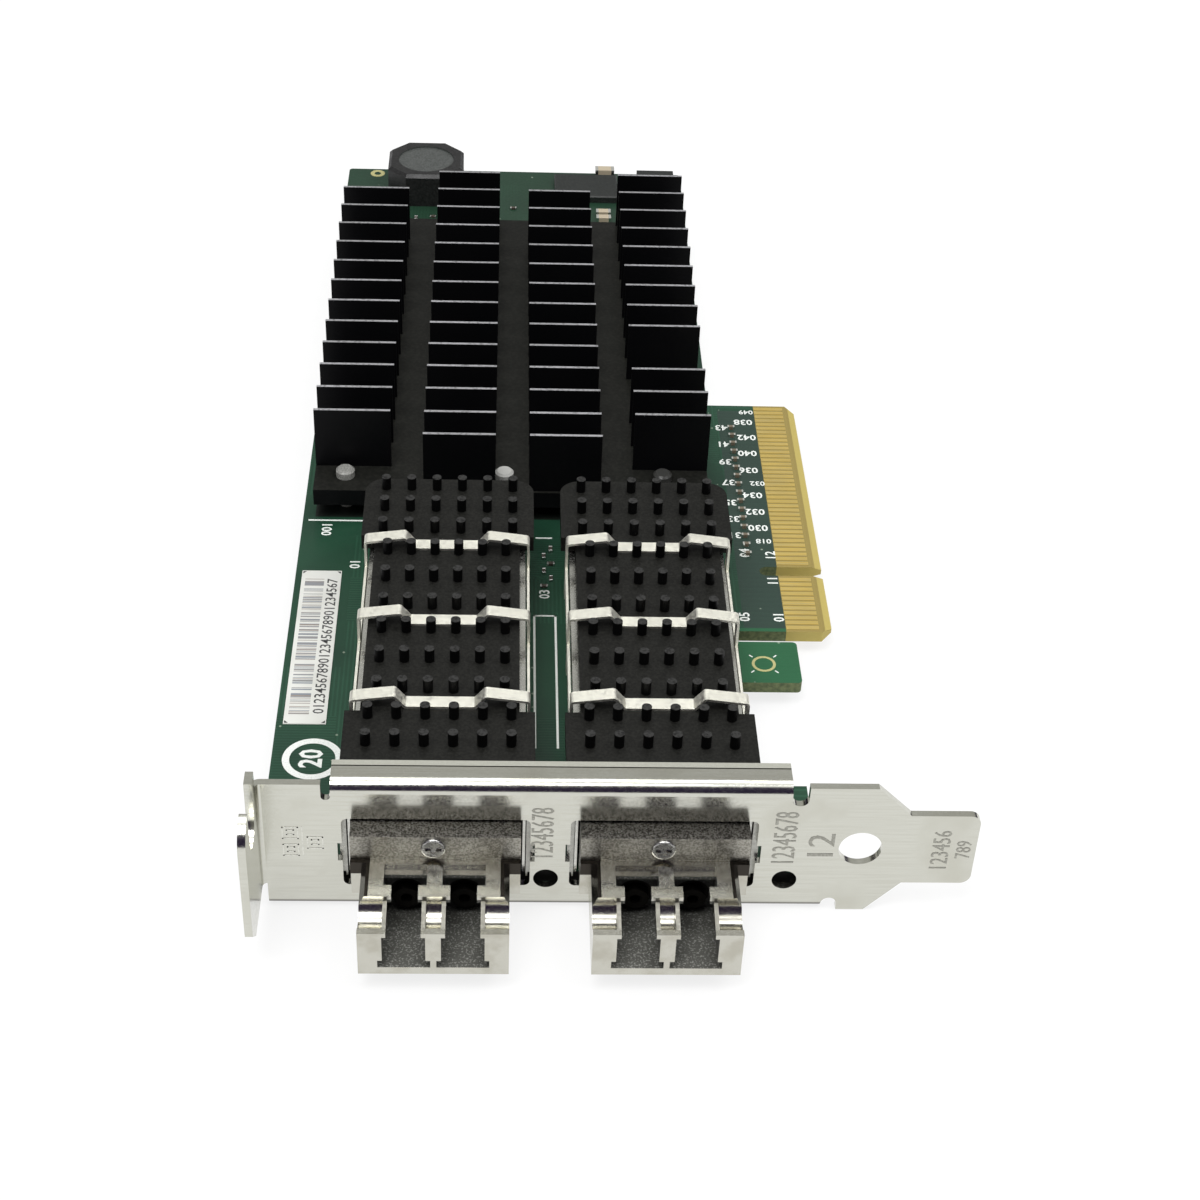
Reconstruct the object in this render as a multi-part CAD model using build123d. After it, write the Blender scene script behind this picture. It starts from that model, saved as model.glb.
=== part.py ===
from build123d import *
import os

# Low-profile network interface card with two fixed optical modules, in millimetres.
# While it is built, X runs from the card's plain edge to its gold contacts, Y from the
# bracket's outer face into the card, and Z up from the component side of the board.
# At the end every piece is moved so that the origin is under the middle of the card.

# Board
board_thickness = 1.57
board_end = 168.5
board_start = 1.6
card_height = 68.9
long_edge = 56.3
contact_tab_corner = 1.3
board_corner_radius = 0.6
bracket_tab_edge = 62.6
bracket_tab_end = 15.7
corner_tab_edge = 64.0
corner_tab_start = 34.3
corner_tab_end = 42.25
corner_slot_end = 57.0

# Edge contacts
contact_tab_start = 44.35
short_tab_length = 11.65
key_width = 1.9
key_depth = 8.3
long_tab_length = 38.65
contact_pitch = 1.0
contact_width = 0.7
contact_length = 4.2
contact_setback = 1.7
contact_thickness = 0.05
short_tab_count = 11
long_tab_count = 38
bevel_depth = 1.3
bevel_height = 0.45

# Bracket
sheet = 0.86
bend_radius = 0.5
bracket_length = 79.2
bracket_top = 14.3
bracket_width = 18.42
flange_bottom_end = 62.8
flange_bottom_depth = 3.5
screw_tab_length = 10.1
screw_tab_rise = 2.3
screw_tab_round = 3.0
screw_tab_bottom = -0.5
screw_tab_corner = 2.2
screw_slot_width = 4.42
screw_slot_reach = 4.67
screw_slot_depth = 6.5
flange_start = 8.7
flange_end = 58.3
flange_depth = 4.0
plain_relief_width = 1.0
tongue_relief_width = 1.8
relief_depth = 1.7
lower_relief_depth = 0.9
tongue_width = 10.19
tongue_mid_rise = 9.38
tongue_length = 7.7
lower_slope_length = 3.8
tongue_corner_radius = 1.2
round_hole = 4.8
round_hole_x = 66.4
round_hole_rise = 9.5
lamp_hole = 2.75
lamp_drop = 4.6
lamp_height = 0.9
window_margin = 1.05
window_top_gap = 0.25
window_drop = 1.2
window_radius = 0.7
window_notch_width = 0.5
window_notch_height = 2.6
lug_width = 5.0
lug_first = 4.7
lug_second = 60.3
lug_reach = 9.0
lug_screw_reach = 6.6

# Bracket screws
lug_screw = 2.5
lug_screw_head = 4.4
lug_screw_head_height = 1.5
cross_width = 0.5
cross_depth = 0.7

# Optical modules
module_mid = 19.95
module_pitch = 24.8
module_width = 18.35
module_height = 8.5
module_lift = 0.6
module_end = 57.0
module_wall = 1.2
block_reach = 2.5
nose_reach = 12.2
nose_width = 16.0
nose_bottom = -1.6
nose_top = 5.85
nose_side_slope = 0.6
nose_side_drop = 1.3
nose_top_front = 8.1
nose_plate = 0.95
lip_top = 4.5
lip_depth = 0.8
cove_bottom = 3.6
shoulder_reach = 3.1
shoulder_height = 1.6
root_reach = 0.6
root_bottom = -0.5
root_end = 1.3
port_pitch = 6.25
port_width = 4.6
port_height = 4.5
port_floor = 1.0
port_depth = 9.0
port_foot_width = 5.6
port_foot_height = 1.0
mouth_width = 3.7
neck_width = 2.85
neck_start = 6.4
latch_start = 4.4
latch_ledge_start = 3.3
latch_ledge_depth = 0.45
cover_height = 4.9
module_screw = 1.4
module_screw_head = 2.65
module_screw_length = 3.4
module_screw_offset = -0.25
module_screw_rise = 7.0
module_screw_stand = 0.35
module_board_thickness = 1.0
module_board_front = 1.0
module_flex = 0.3
module_board_rise = 2.6
module_board_margin = 1.0
module_board_tail = 3.0
optics_body = 3.8
optics_sleeve = 2.9
optics_bore = 1.26
optics_front = -4.2
optics_can_front = -3.2
optics_can_end = 1.0

# Cages
cage_wall = 0.3
cage_clearance = 0.2
cage_end = 62.0
cage_start = 1.5
cage_rim = 1.0
cage_window_start = 8.5
cage_window_end = 58.5
gasket_lip = 0.55
gasket_thickness = 0.2
gasket_finger = 1.6
gasket_finger_gap = 0.5
gasket_finger_length = 5.0
connector_width = 15.0
connector_height = 6.6
connector_slot_depth = 3.4
connector_end_wall = 1.5

# Pin heat sinks on the cages
pin_plate_width = 21.4
pin_plate_waist = 17.9
pin_plate_start = 6.5
pin_plate_end = 60.1
pin_plate_lower = 9.75
pin_plate_upper = 11.8
pin_plate_corner = 2.6
waist_front_gap = 1.3
waist_rear_gap = 2.05
pin_height = 1.8
pin_diameter = 1.15
pin_columns = 6
pin_column_pitch = 3.22
waist_column_pitch = 2.9
pin_gap_first = 16.2
pin_gap_pitch = 15.25
pin_gap_count = 3
pin_row_offset = 2.25
pin_row_pitch = 4.55
pin_rear_rows = 3
pin_front_rows = 2

# Clips over the pin heat sinks
clip_sheet = 0.3
clip_band = 1.8
clip_first = 16.2
clip_pitch = 14.8
clip_count = 3
clip_side_gap = 0.2
clip_side_rise = 1.0
clip_crest_rise = 1.65
clip_crest_reach = 5.15
clip_dip_reach = 3.95
clip_bend = 0.35
clip_pin_gap = 0.15
clip_rail_height = 2.2
clip_rail_drop = 0.4
clip_leg_drop = 5.2

# Main heat sink
sink_start_x = 1.5
sink_width = 52.9
sink_start = 67.5
sink_end = 142.8
sink_lower = 2.2
sink_plate = 2.4
fin_top = 13.5
fin_thickness = 0.45
fin_pitch = 5.7
fin_first = 73.45
short_row_pitch = 5.3
channel_width = 4.5
channel_pitch = 14.05

# Push pins of the main heat sink
push_pin_head = 2.5
push_pin_head_height = 1.2
push_pin_shank = 1.7
push_pin_hole = 1.9
push_pin_first_x = 5.6
push_pin_pitch_x = 21.3
push_pin_front = 71.0
push_pin_rear = 139.3
push_pin_rear_third_x = 34.9
push_pin_middle_x = 49.2
push_pin_middle = 90.5
push_pin_barb = 2.3
push_pin_tip = 1.3
push_pin_barb_height = 0.7

# Chips and their heat pads
chip_height = 1.9
chip_edge = 0.2
controller_side = 31.0
controller_x = 28.0
controller_y = 113.0
converter_side = 15.0
converter_y = 81.5
converter_spacing = 27.6
pad_margin = 2.0

# Small parts at the far end
inductor_side = 12.4
inductor_height = 5.6
inductor_corner = 3.0
inductor_edge = 0.5
inductor_x = 13.3
inductor_inset = 0.6
inductor_dish = 9.2
inductor_dish_depth = 0.3
large_chip_width = 10.6
large_chip_depth = 8.0
large_chip_height = 1.2
large_chip_x = 40.1
large_chip_y = 161.9
regulator_width = 6.2
regulator_depth = 4.6
regulator_height = 1.0
regulator_x = 52.0
regulator_inset = 0.5
end_capacitor_length = 3.2
end_capacitor_width = 1.6
end_capacitor_height = 1.6
end_capacitor_x = 43.4
end_capacitor_inset = 1.2
pair_capacitor_length = 2.4
pair_capacitor_width = 1.25
pair_capacitor_height = 0.9
pair_capacitor_x = 42.8
pair_capacitor_y = 151.6
pair_capacitor_pitch = 2.0

# Coupling capacitors beside the contacts
coupling_length = 1.0
coupling_width = 0.5
coupling_height = 0.5
coupling_count = 16
coupling_pitch = 2.0
coupling_first = 60.5
coupling_gap = 3.7

# Signal lamps and label
lamp_x = 31.94
lamp_pitch = 26.46
lamp_width = 2.6
lamp_depth = 2.4
lamp_body_height = 2.2
lamp_lens = 1.8
lamp_lens_length = 0.6
label_start_x = 0.85
label_width = 5.1
label_start = 25.75
label_length = 30.0
label_thickness = 0.12

# Gaps between pieces, and how far a cutting solid reaches past the face it cuts
fit_gap = 0.1
cut_margin = 1.0

# Places worked out from the sizes above
bracket_bottom = bracket_top - bracket_width
bend_outer = bend_radius + sheet
screw_tab_top = bracket_top + screw_tab_rise
lug_lower = -board_thickness - sheet
module_bottom = module_lift
module_top = module_lift + module_height
module_middles = [module_mid, module_mid + module_pitch]
port_bottom = nose_bottom + port_floor
port_top = port_bottom + port_height
port_axis = (port_bottom + port_top) / 2
cage_half = module_width / 2 + cage_clearance + cage_wall
cage_top = module_top + cage_clearance + cage_wall
sink_upper = sink_lower + sink_plate
sink_middle = sink_start_x + sink_width / 2
long_tab_start = contact_tab_start + short_tab_length + key_width
contact_tab_end = long_tab_start + long_tab_length
pin_gaps = [pin_gap_first + pin_gap_pitch * number for number in range(pin_gap_count)]
clip_bands = [clip_first + clip_pitch * number for number in range(clip_count)]
clip_half = cage_half + clip_side_gap + clip_sheet
lamp_places = [lamp_x, lamp_x + lamp_pitch]
lug_places = [lug_first, lug_second]
lamp_rise = bracket_bottom + lamp_drop
coupling_x = card_height - contact_setback - contact_length - coupling_gap


def block(x0, x1, y0, y1, z0, z1):
    """A box given by its faces."""
    corner = (Align.MIN, Align.MIN, Align.MIN)
    return Pos(x0, y0, z0) * Box(x1 - x0, y1 - y0, z1 - z0, align=corner)


def disc(x, y, z0, z1, diameter):
    """An upright cylinder given by its two ends."""
    base = (Align.CENTER, Align.CENTER, Align.MIN)
    return Pos(x, y, z0) * Cylinder(diameter / 2, z1 - z0, align=base)


def rod(x, y0, y1, z, diameter):
    """A cylinder along Y given by its two ends."""
    base = (Align.CENTER, Align.CENTER, Align.MIN)
    return Pos(x, y0, z) * Rot(-90, 0, 0) * Cylinder(diameter / 2, y1 - y0, align=base)


def wall_face(outline, y0, y1):
    """A flat outline of X and Z points, given thickness along Y."""
    face = make_face(Polyline(*[(x, y0, z) for x, z in outline], close=True))
    return extrude(face, amount=y1 - y0, dir=(0, 1, 0))


def floor_face(outline, z0, z1):
    """A flat outline of X and Y points, given thickness along Z."""
    face = make_face(Polyline(*[(x, y, z0) for x, y in outline], close=True))
    return extrude(face, amount=z1 - z0, dir=(0, 0, 1))


def cross_recess(x, y, z, size):
    """The cross-shaped recess in a screw's head whose top is at z."""
    reach = size / 2
    slot = cross_width / 2
    long_way = block(x - reach, x + reach, y - slot, y + slot, z - cross_depth, z)
    return long_way + block(x - slot, x + slot, y - reach, y + reach, z - cross_depth, z)


def push_pin_places():
    """Middles of the push pins that hold the main heat sink."""
    front = [(push_pin_first_x + push_pin_pitch_x * number, push_pin_front) for number in range(3)]
    rear = [(push_pin_first_x, push_pin_rear), (push_pin_rear_third_x, push_pin_rear)]
    return front + [(push_pin_middle_x, push_pin_middle)] + rear


def circuit_board():
    """The board: its outline, key notch, bevelled contact edge and holes."""
    outline = [
        (0, board_start),
        (bracket_tab_edge, board_start),
        (bracket_tab_edge, bracket_tab_end),
        (long_edge, bracket_tab_end),
        (long_edge, corner_tab_start),
        (corner_tab_edge, corner_tab_start),
        (corner_tab_edge, corner_tab_end),
        (corner_slot_end, corner_tab_end),
        (corner_slot_end, contact_tab_start),
        (card_height - contact_tab_corner, contact_tab_start),
        (card_height, contact_tab_start + contact_tab_corner),
        (card_height, contact_tab_end - contact_tab_corner),
        (card_height - contact_tab_corner, contact_tab_end),
        (long_edge, contact_tab_end),
        (long_edge, board_end),
        (0, board_end),
    ]
    board = floor_face(outline, -board_thickness, 0)
    upright = board.edges().filter_by(Axis.Z)
    far_corners = upright.filter_by(lambda edge: edge.center().Y > board_end - cut_margin)
    tab_corners = upright.filter_by(lambda edge: edge.center().X == corner_tab_edge)
    board = fillet(far_corners + tab_corners, board_corner_radius)
    slot_middle = (corner_tab_end + contact_tab_start) / 2
    board -= disc(corner_slot_end, slot_middle, -board_thickness, 0, contact_tab_start - corner_tab_end)
    key_start = contact_tab_start + short_tab_length
    key_radius = key_width / 2
    key_end = key_start + key_width
    key_middle = card_height - key_depth + key_radius
    board -= block(key_middle, card_height, key_start, key_end, -board_thickness, 0)
    board -= disc(key_middle, key_start + key_radius, -board_thickness, 0, key_width)
    outside = card_height + cut_margin
    for side in (1, -1):
        face = 0 if side == 1 else -board_thickness
        bevel = [
            (card_height - bevel_depth, face),
            (outside, face - side * bevel_height * (outside - card_height + bevel_depth) / bevel_depth),
            (outside, face + side * cut_margin),
            (card_height - bevel_depth, face + side * cut_margin),
        ]
        board -= wall_face(bevel, contact_tab_start - cut_margin, contact_tab_end + cut_margin)
    for x, y in push_pin_places():
        board -= disc(x, y, -board_thickness, 0, push_pin_hole)
    for x in lug_places:
        board -= disc(x, sheet + lug_screw_reach, -board_thickness, 0, lug_screw + 2 * fit_gap)
    return board


def edge_contacts(lower, upper):
    """The row of contact pads between two heights."""
    pads = []
    groups = [(contact_tab_start, short_tab_length, short_tab_count)]
    groups.append((long_tab_start, long_tab_length, long_tab_count))
    outer = card_height - contact_setback
    for start, length, count in groups:
        first = start + (length - contact_pitch * (count - 1)) / 2
        for number in range(count):
            middle = first + contact_pitch * number
            low = middle - contact_width / 2
            pads.append(block(outer - contact_length, outer, low, low + contact_width, lower, upper))
    return pads


def bracket_face():
    """The flat face of the bracket with its shoulder and tongue."""
    tongue_middle = bracket_bottom + tongue_mid_rise
    tongue_top = tongue_middle + tongue_width / 2
    tongue_bottom = tongue_middle - tongue_width / 2
    tongue_root = bracket_length - tongue_length
    upper_slope = bracket_top - tongue_top
    outline = [
        (bend_outer, bracket_bottom),
        (tongue_root - lower_slope_length, bracket_bottom),
        (tongue_root, tongue_bottom),
        (bracket_length, tongue_bottom),
        (bracket_length, tongue_top),
        (tongue_root, tongue_top),
        (tongue_root - upper_slope, bracket_top),
        (bend_outer, bracket_top),
    ]
    face = wall_face(outline, 0, sheet)
    ends = face.edges().filter_by(Axis.Y).group_by(Axis.X)[-1]
    return fillet(ends, tongue_corner_radius)


def bent_strip(start, end, reach, level, side):
    """A strip along X bent back from the face; its outer surface is at the level, side 1 is the top."""
    corner = Circle(bend_outer) - Circle(bend_radius)
    corner &= Pos(-bend_outer / 2, side * bend_outer / 2) * Rectangle(bend_outer, bend_outer)
    middle = level - side * sheet / 2
    flat = Pos((bend_outer + reach) / 2, middle) * Rectangle(reach - bend_outer, sheet)
    profile = Pos(bend_outer, level - side * bend_outer) * corner + flat
    section = Plane(origin=(start, 0, 0), x_dir=(0, 1, 0), z_dir=(1, 0, 0)) * profile
    return extrude(section, amount=end - start, dir=(1, 0, 0))


def screw_tab():
    """The tab with the screw slot, bent forward at the plain end of the bracket."""
    corner = Circle(bend_outer) - Circle(bend_radius)
    corner &= Pos(-bend_outer / 2, bend_outer / 2) * Rectangle(bend_outer, bend_outer)
    root = sheet - bend_outer
    bottom = screw_tab_bottom
    curve = extrude(Pos(bend_outer, root, bottom) * corner, amount=bracket_top - bottom, dir=(0, 0, 1))
    outline = [
        (root, bottom),
        (screw_tab_corner - screw_tab_length, bottom),
        (-screw_tab_length, bottom + screw_tab_corner),
        (-screw_tab_length, screw_tab_top),
        (root, screw_tab_top),
    ]
    flat = make_face(Polyline(*[(0, y, z) for y, z in outline], close=True))
    tab = extrude(flat, amount=sheet, dir=(1, 0, 0))
    crown = tab.edges().filter_by(Axis.X).group_by(Axis.Z)[-1]
    tab = fillet(crown.sort_by(Axis.Y)[0], screw_tab_round)
    radius = screw_slot_width / 2
    floor = screw_tab_top - screw_slot_depth + radius
    low = -screw_slot_reach - radius
    tab -= block(
        -cut_margin, sheet + cut_margin, low, low + screw_slot_width,
        floor, screw_tab_top + cut_margin,
    )
    end = Cylinder(radius, sheet + 2 * cut_margin)
    tab -= Pos(sheet / 2, -screw_slot_reach, floor) * Rot(0, 90, 0) * end
    return tab + curve


def screw_lug(middle):
    """A lug that steps up from the bottom flange and lies under the board."""
    low_x = middle - lug_width / 2
    high_x = middle + lug_width / 2
    start = flange_bottom_depth - sheet
    riser = block(low_x, high_x, start, flange_bottom_depth, bracket_bottom, -board_thickness)
    lug = block(low_x, high_x, start, sheet + lug_reach, lug_lower, -board_thickness)
    far = lug.edges().filter_by(Axis.Z).group_by(Axis.Y)[-1]
    hole = disc(middle, sheet + lug_screw_reach, lug_lower - cut_margin, cut_margin, lug_screw)
    return fillet(far, lug_width / 4) + riser - hole


def bottom_flange():
    """The flange bent back along the lower edge, with its two screw lugs."""
    piece = bent_strip(bend_outer, flange_bottom_end, flange_bottom_depth, bracket_bottom, -1)
    for middle in lug_places:
        piece += screw_lug(middle)
    return piece


def port_window(middle):
    """The opening in the bracket that one module passes through, as the solid to cut."""
    half = module_width / 2 + window_margin
    low = module_bottom - window_drop
    high = module_top + window_top_gap
    hole = block(middle - half, middle + half, -cut_margin, sheet + cut_margin, low, high)
    hole = fillet(hole.edges().filter_by(Axis.Y), window_radius)
    notch = (low + high) / 2
    reach = half + window_notch_width
    return hole + block(
        middle - reach, middle + reach, -cut_margin, sheet + cut_margin,
        notch - window_notch_height / 2, notch + window_notch_height / 2,
    )


def bend_relief(start, width, edge, depth):
    """The round-ended slit at the end of a bend, cut in from the face's edge."""
    end = edge - depth
    slit = block(start, start + width, -cut_margin, sheet + cut_margin, min(edge, end), max(edge, end))
    return slit + rod(start + width / 2, -cut_margin, sheet + cut_margin, end, width)


def bracket():
    """The folded bracket: face, screw tab, flanges, lugs and openings."""
    back = sheet + cut_margin
    piece = bracket_face()
    piece -= block(flange_start, flange_end, -cut_margin, back, bracket_top - bend_outer, bracket_top)
    bend_end = bracket_bottom + bend_outer
    piece -= block(bend_outer, flange_bottom_end, -cut_margin, back, bracket_bottom, bend_end)
    piece -= bend_relief(flange_start - plain_relief_width, plain_relief_width, bracket_top, relief_depth)
    piece -= bend_relief(flange_end, tongue_relief_width, bracket_top, relief_depth)
    piece -= bend_relief(flange_bottom_end, tongue_relief_width, bracket_bottom, -lower_relief_depth)
    piece += screw_tab()
    piece += bent_strip(flange_start, flange_end, flange_depth, bracket_top, 1)
    piece += bottom_flange()
    for middle in module_middles:
        piece -= port_window(middle)
    piece -= rod(round_hole_x, -cut_margin, back, bracket_bottom + round_hole_rise, round_hole)
    for middle in lamp_places:
        piece -= rod(middle, -cut_margin, back, lamp_rise, lamp_hole)
    return piece


def bracket_screw(middle):
    """A pan-head screw through the board into a lug."""
    y = sheet + lug_screw_reach
    head = disc(middle, y, 0, lug_screw_head_height, lug_screw_head)
    head = chamfer(head.edges().group_by(Axis.Z)[-1], lug_screw_head_height / 3)
    shank = disc(middle, y, lug_lower, 0, lug_screw)
    return head + shank - cross_recess(middle, y, lug_screw_head_height, lug_screw)


def nose(middle):
    """The front of a module's cast body: flat roof, hollow behind the lip, and the front wall."""
    front = -nose_reach
    half = nose_width / 2
    lip_back = front + lip_depth
    roof = -nose_top_front
    roof_foot = nose_top - nose_plate - fit_gap
    straight = Polyline(
        (0, lip_back, lip_top), (0, front, lip_top), (0, front, nose_bottom),
        (0, -root_reach, nose_bottom), (0, -root_reach, nose_top), (0, roof, nose_top),
        (0, roof, roof_foot),
    )
    hollow = ThreePointArc(
        (0, roof, roof_foot), (0, (lip_back + roof) / 2, cove_bottom), (0, lip_back, lip_top),
    )
    side = make_face([*straight.edges(), hollow])
    body = Pos(middle - half, 0, 0) * extrude(side, amount=nose_width, dir=(1, 0, 0))
    slope = nose_side_slope
    shoulder = nose_top - nose_side_drop
    outline = [
        (middle - half, nose_bottom),
        (middle + half, nose_bottom),
        (middle + half, shoulder),
        (middle + half - slope, nose_top),
        (middle - half + slope, nose_top),
        (middle - half, shoulder),
    ]
    return body & wall_face(outline, front, 0)


def port(middle):
    """One fibre port with its latch slot, as the solid to cut."""
    outside = -nose_reach - cut_margin
    back = port_depth - nose_reach
    above = module_top + cut_margin
    under_roof = nose_top - nose_plate

    def slot(width, y0, y1, z0, z1):
        return block(middle - width / 2, middle + width / 2, y0, y1, z0, z1)

    channel = slot(port_width, outside, back, port_bottom, port_top)
    foot = slot(port_foot_width, outside, back, port_bottom, port_bottom + port_foot_height)
    room = slot(port_width, -nose_top_front, back, port_axis, under_roof)
    mouth = slot(mouth_width, outside, -nose_top_front + fit_gap, port_axis, above)
    neck = slot(neck_width, -nose_top_front - fit_gap, -neck_start + fit_gap, port_axis, above)
    latch = slot(port_width, -neck_start, -latch_start, port_axis, above)
    ledge_floor = nose_top - latch_ledge_depth
    ledge = slot(port_width, -latch_start - fit_gap, -latch_ledge_start, ledge_floor, above)
    return channel + foot + room + mouth + neck + latch + ledge


def module_body(middle):
    """The die-cast lower body of a module: nose, block and open tray."""
    half = module_width / 2
    split = module_top - cover_height
    body = nose(middle)
    root = nose_width / 2
    floor = module_bottom + module_wall
    body += block(middle - root, middle + root, -root_reach - cut_margin, root_end, root_bottom, floor)
    body += block(middle - half, middle + half, -shoulder_reach, 0, nose_top - shoulder_height, nose_top)
    body += block(middle - half, middle + half, -block_reach, module_board_front, module_bottom, module_top)
    tray = block(middle - half, middle + half, 0, module_end, module_bottom, split)
    room = block(
        middle - half + module_wall, middle + half - module_wall,
        module_board_front, module_end + cut_margin, floor, split + cut_margin,
    )
    body += tray - room
    for side in (-1, 1):
        x = middle + side * port_pitch / 2
        body -= port(x)
        body -= rod(x, optics_can_front - cut_margin, module_board_front, port_axis, optics_body)
    x = middle + module_screw_offset
    z = module_bottom + module_screw_rise
    body -= rod(x, -block_reach, -block_reach + module_screw_length, z, module_screw)
    return body


def module_cover(middle):
    """The upper cover of a module, which the pin heat sink rests on."""
    half = module_width / 2
    split = module_top - cover_height
    cover = block(middle - half, middle + half, module_board_front, module_end, split, module_top)
    return cover - block(
        middle - half + module_wall, middle + half - module_wall,
        module_board_front - cut_margin, module_end - module_wall,
        split - cut_margin, module_top - module_wall,
    )


def module_screw_piece(middle):
    """The small screw in the front of a module's block."""
    x = middle + module_screw_offset
    z = module_bottom + module_screw_rise
    face = -block_reach
    front = face - module_screw_stand
    head = rod(x, front, face, z, module_screw_head)
    head = fillet(head.edges().group_by(Axis.Y)[0], module_screw_stand / 2)
    shank = rod(x, face, face + module_screw_length, z, module_screw)
    reach = module_screw_head / 3
    slot = cross_width / 2
    screw = head + shank
    screw -= block(x - reach, x + reach, front, face, z - slot, z + slot)
    return screw - block(x - slot, x + slot, front, face, z - reach, z + reach)


def module_circuit(middle):
    """The small circuit board in a module: its front strip meets the optics, its tail the connector."""
    half = module_width / 2 - module_wall - module_board_margin
    low = module_bottom + module_board_rise
    high = low + module_board_thickness
    front = module_board_front
    board = block(middle - half, middle + half, front, module_end - fit_gap, low, high)
    floor = module_bottom + module_wall
    board += block(middle - half, middle + half, front, front + module_flex, floor, high)
    tail = connector_width / 2 - connector_end_wall
    end = module_end + module_board_tail
    return board + block(middle - tail, middle + tail, module_end - cut_margin, end, low, high)


def board_posts(middle):
    """The ledges cast in the tray that carry the module's circuit board."""
    half = module_width / 2 - module_wall
    low = module_bottom + module_wall
    high = module_bottom + module_board_rise
    start = module_board_front + module_flex + module_board_margin
    posts = []
    for side in (-1, 1):
        inner = middle + side * (half - 2 * module_board_margin)
        outer = middle + side * half
        posts.append(block(min(inner, outer), max(inner, outer), start, module_end, low, high))
    return posts


def optics(middle):
    """A laser or detector can with the sleeve that takes the fibre's ferrule."""
    sleeve = rod(middle, optics_front, optics_can_front, port_axis, optics_sleeve)
    can = rod(middle, optics_can_front, optics_can_end, port_axis, optics_body)
    bore = rod(middle, optics_front, optics_can_front, port_axis, optics_bore)
    return sleeve + can - bore


def cage(middle):
    """The folded sheet cage that a module sits in, open in front and over the cover."""
    inner = cage_half - cage_wall
    shell = block(middle - cage_half, middle + cage_half, cage_start, cage_end, 0, cage_top)
    under_top = cage_top - cage_wall
    shell -= block(
        middle - inner, middle + inner, cage_start - cut_margin, cage_end - cage_wall,
        -cut_margin, under_top,
    )
    rim = inner - cage_rim
    return shell - block(
        middle - rim, middle + rim, cage_window_start, cage_window_end,
        cage_top - cut_margin, cage_top + cut_margin,
    )


def cage_gasket(middle):
    """The springy collar between a cage's mouth and the bracket."""
    inner = cage_half + fit_gap
    outer = inner + gasket_thickness
    top = cage_top + fit_gap
    end = sheet + gasket_finger_length
    crown = top + gasket_thickness
    collar = block(middle - outer, middle + outer, sheet, end, 0, crown)
    collar -= block(middle - inner, middle + inner, sheet - cut_margin, end + cut_margin, -cut_margin, top)
    step = gasket_finger + gasket_finger_gap
    count = int((2 * outer - gasket_finger) / step)
    first = middle - step * (count - 1) / 2
    for number in range(count):
        x = first + step * number
        low = x - gasket_finger_gap / 2
        collar -= block(
            low, low + gasket_finger_gap, cage_start + gasket_finger_gap, end + cut_margin,
            top - cut_margin, top + cut_margin,
        )
    rim = outer + gasket_lip
    back = sheet + gasket_thickness
    frame = block(middle - rim, middle + rim, sheet, back, module_bottom, crown + gasket_lip)
    frame -= block(middle - inner, middle + inner, 0, end, module_bottom - cut_margin, top)
    return collar + frame


def host_connector(middle):
    """The connector on the board that the module's circuit board plugs into."""
    half = connector_width / 2
    start = module_end + fit_gap
    body = block(middle - half, middle + half, start, cage_end - cage_wall - fit_gap, 0, connector_height)
    low = module_bottom + module_board_rise
    tail = half - connector_end_wall + fit_gap
    slot = block(
        middle - tail, middle + tail, start - cut_margin, start + connector_slot_depth,
        low - fit_gap, low + module_board_thickness + fit_gap,
    )
    return body - slot


def pin_rows():
    """The rows of pins: their place along the card and their pitch across it."""
    rows = []
    for gap in pin_gaps:
        rows.append(gap - pin_row_offset)
        rows.append(gap + pin_row_offset)
    for gap in pin_gaps[:-1]:
        rows.append(gap + pin_gap_pitch / 2)
    for number in range(1, pin_front_rows):
        rows.append(pin_gaps[0] - pin_row_offset - pin_row_pitch * number)
    for number in range(1, pin_rear_rows):
        rows.append(pin_gaps[-1] + pin_row_offset + pin_row_pitch * number)
    spaced = []
    for row in sorted(rows):
        in_waist = pin_gaps[0] < row < pin_gaps[-1]
        spaced.append((row, waist_column_pitch if in_waist else pin_column_pitch))
    return spaced


def pin_places(middle):
    """Middles of all the pins of one heat sink."""
    places = []
    for row, pitch in pin_rows():
        first = middle - pitch * (pin_columns - 1) / 2
        places.extend((first + pitch * number, row) for number in range(pin_columns))
    return places


def pin_heat_sink(middle):
    """The cast plate with round pins that cools a module through its cage."""
    wide = pin_plate_width / 2
    waist = pin_plate_waist / 2
    waist_start = clip_bands[0] - waist_front_gap
    waist_end = clip_bands[-1] + waist_rear_gap
    right = [
        (wide, pin_plate_start),
        (wide, waist_start),
        (waist, waist_start),
        (waist, waist_end),
        (wide, waist_end),
        (wide, pin_plate_end),
    ]
    left = [(-x, y) for x, y in reversed(right)]
    plate = floor_face([(middle + x, y) for x, y in right + left], pin_plate_lower, pin_plate_upper)
    rear = plate.edges().filter_by(Axis.Z).group_by(Axis.Y)[-1]
    plate = fillet(rear, pin_plate_corner)
    foot = cage_half - cage_wall - cage_rim - 2 * fit_gap
    foot_start = cage_window_start + fit_gap
    foot_end = cage_window_end - fit_gap
    foot_limit = min(foot_end, module_end)
    plate += block(middle - foot, middle + foot, foot_start, foot_limit, module_top, pin_plate_lower)
    for x, y in pin_places(middle):
        plate += disc(x, y, pin_plate_upper, pin_plate_upper + pin_height, pin_diameter)
    return plate


def clip_line():
    """Half of a clip's middle line across the card, from its foot up to where it presses the plate."""
    side = clip_half - clip_sheet / 2
    return [
        (side, cage_top - clip_leg_drop),
        (side, pin_plate_upper + clip_side_rise),
        (clip_crest_reach, pin_plate_upper + clip_crest_rise),
        (clip_dip_reach, pin_plate_upper + clip_sheet / 2),
    ]


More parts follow.
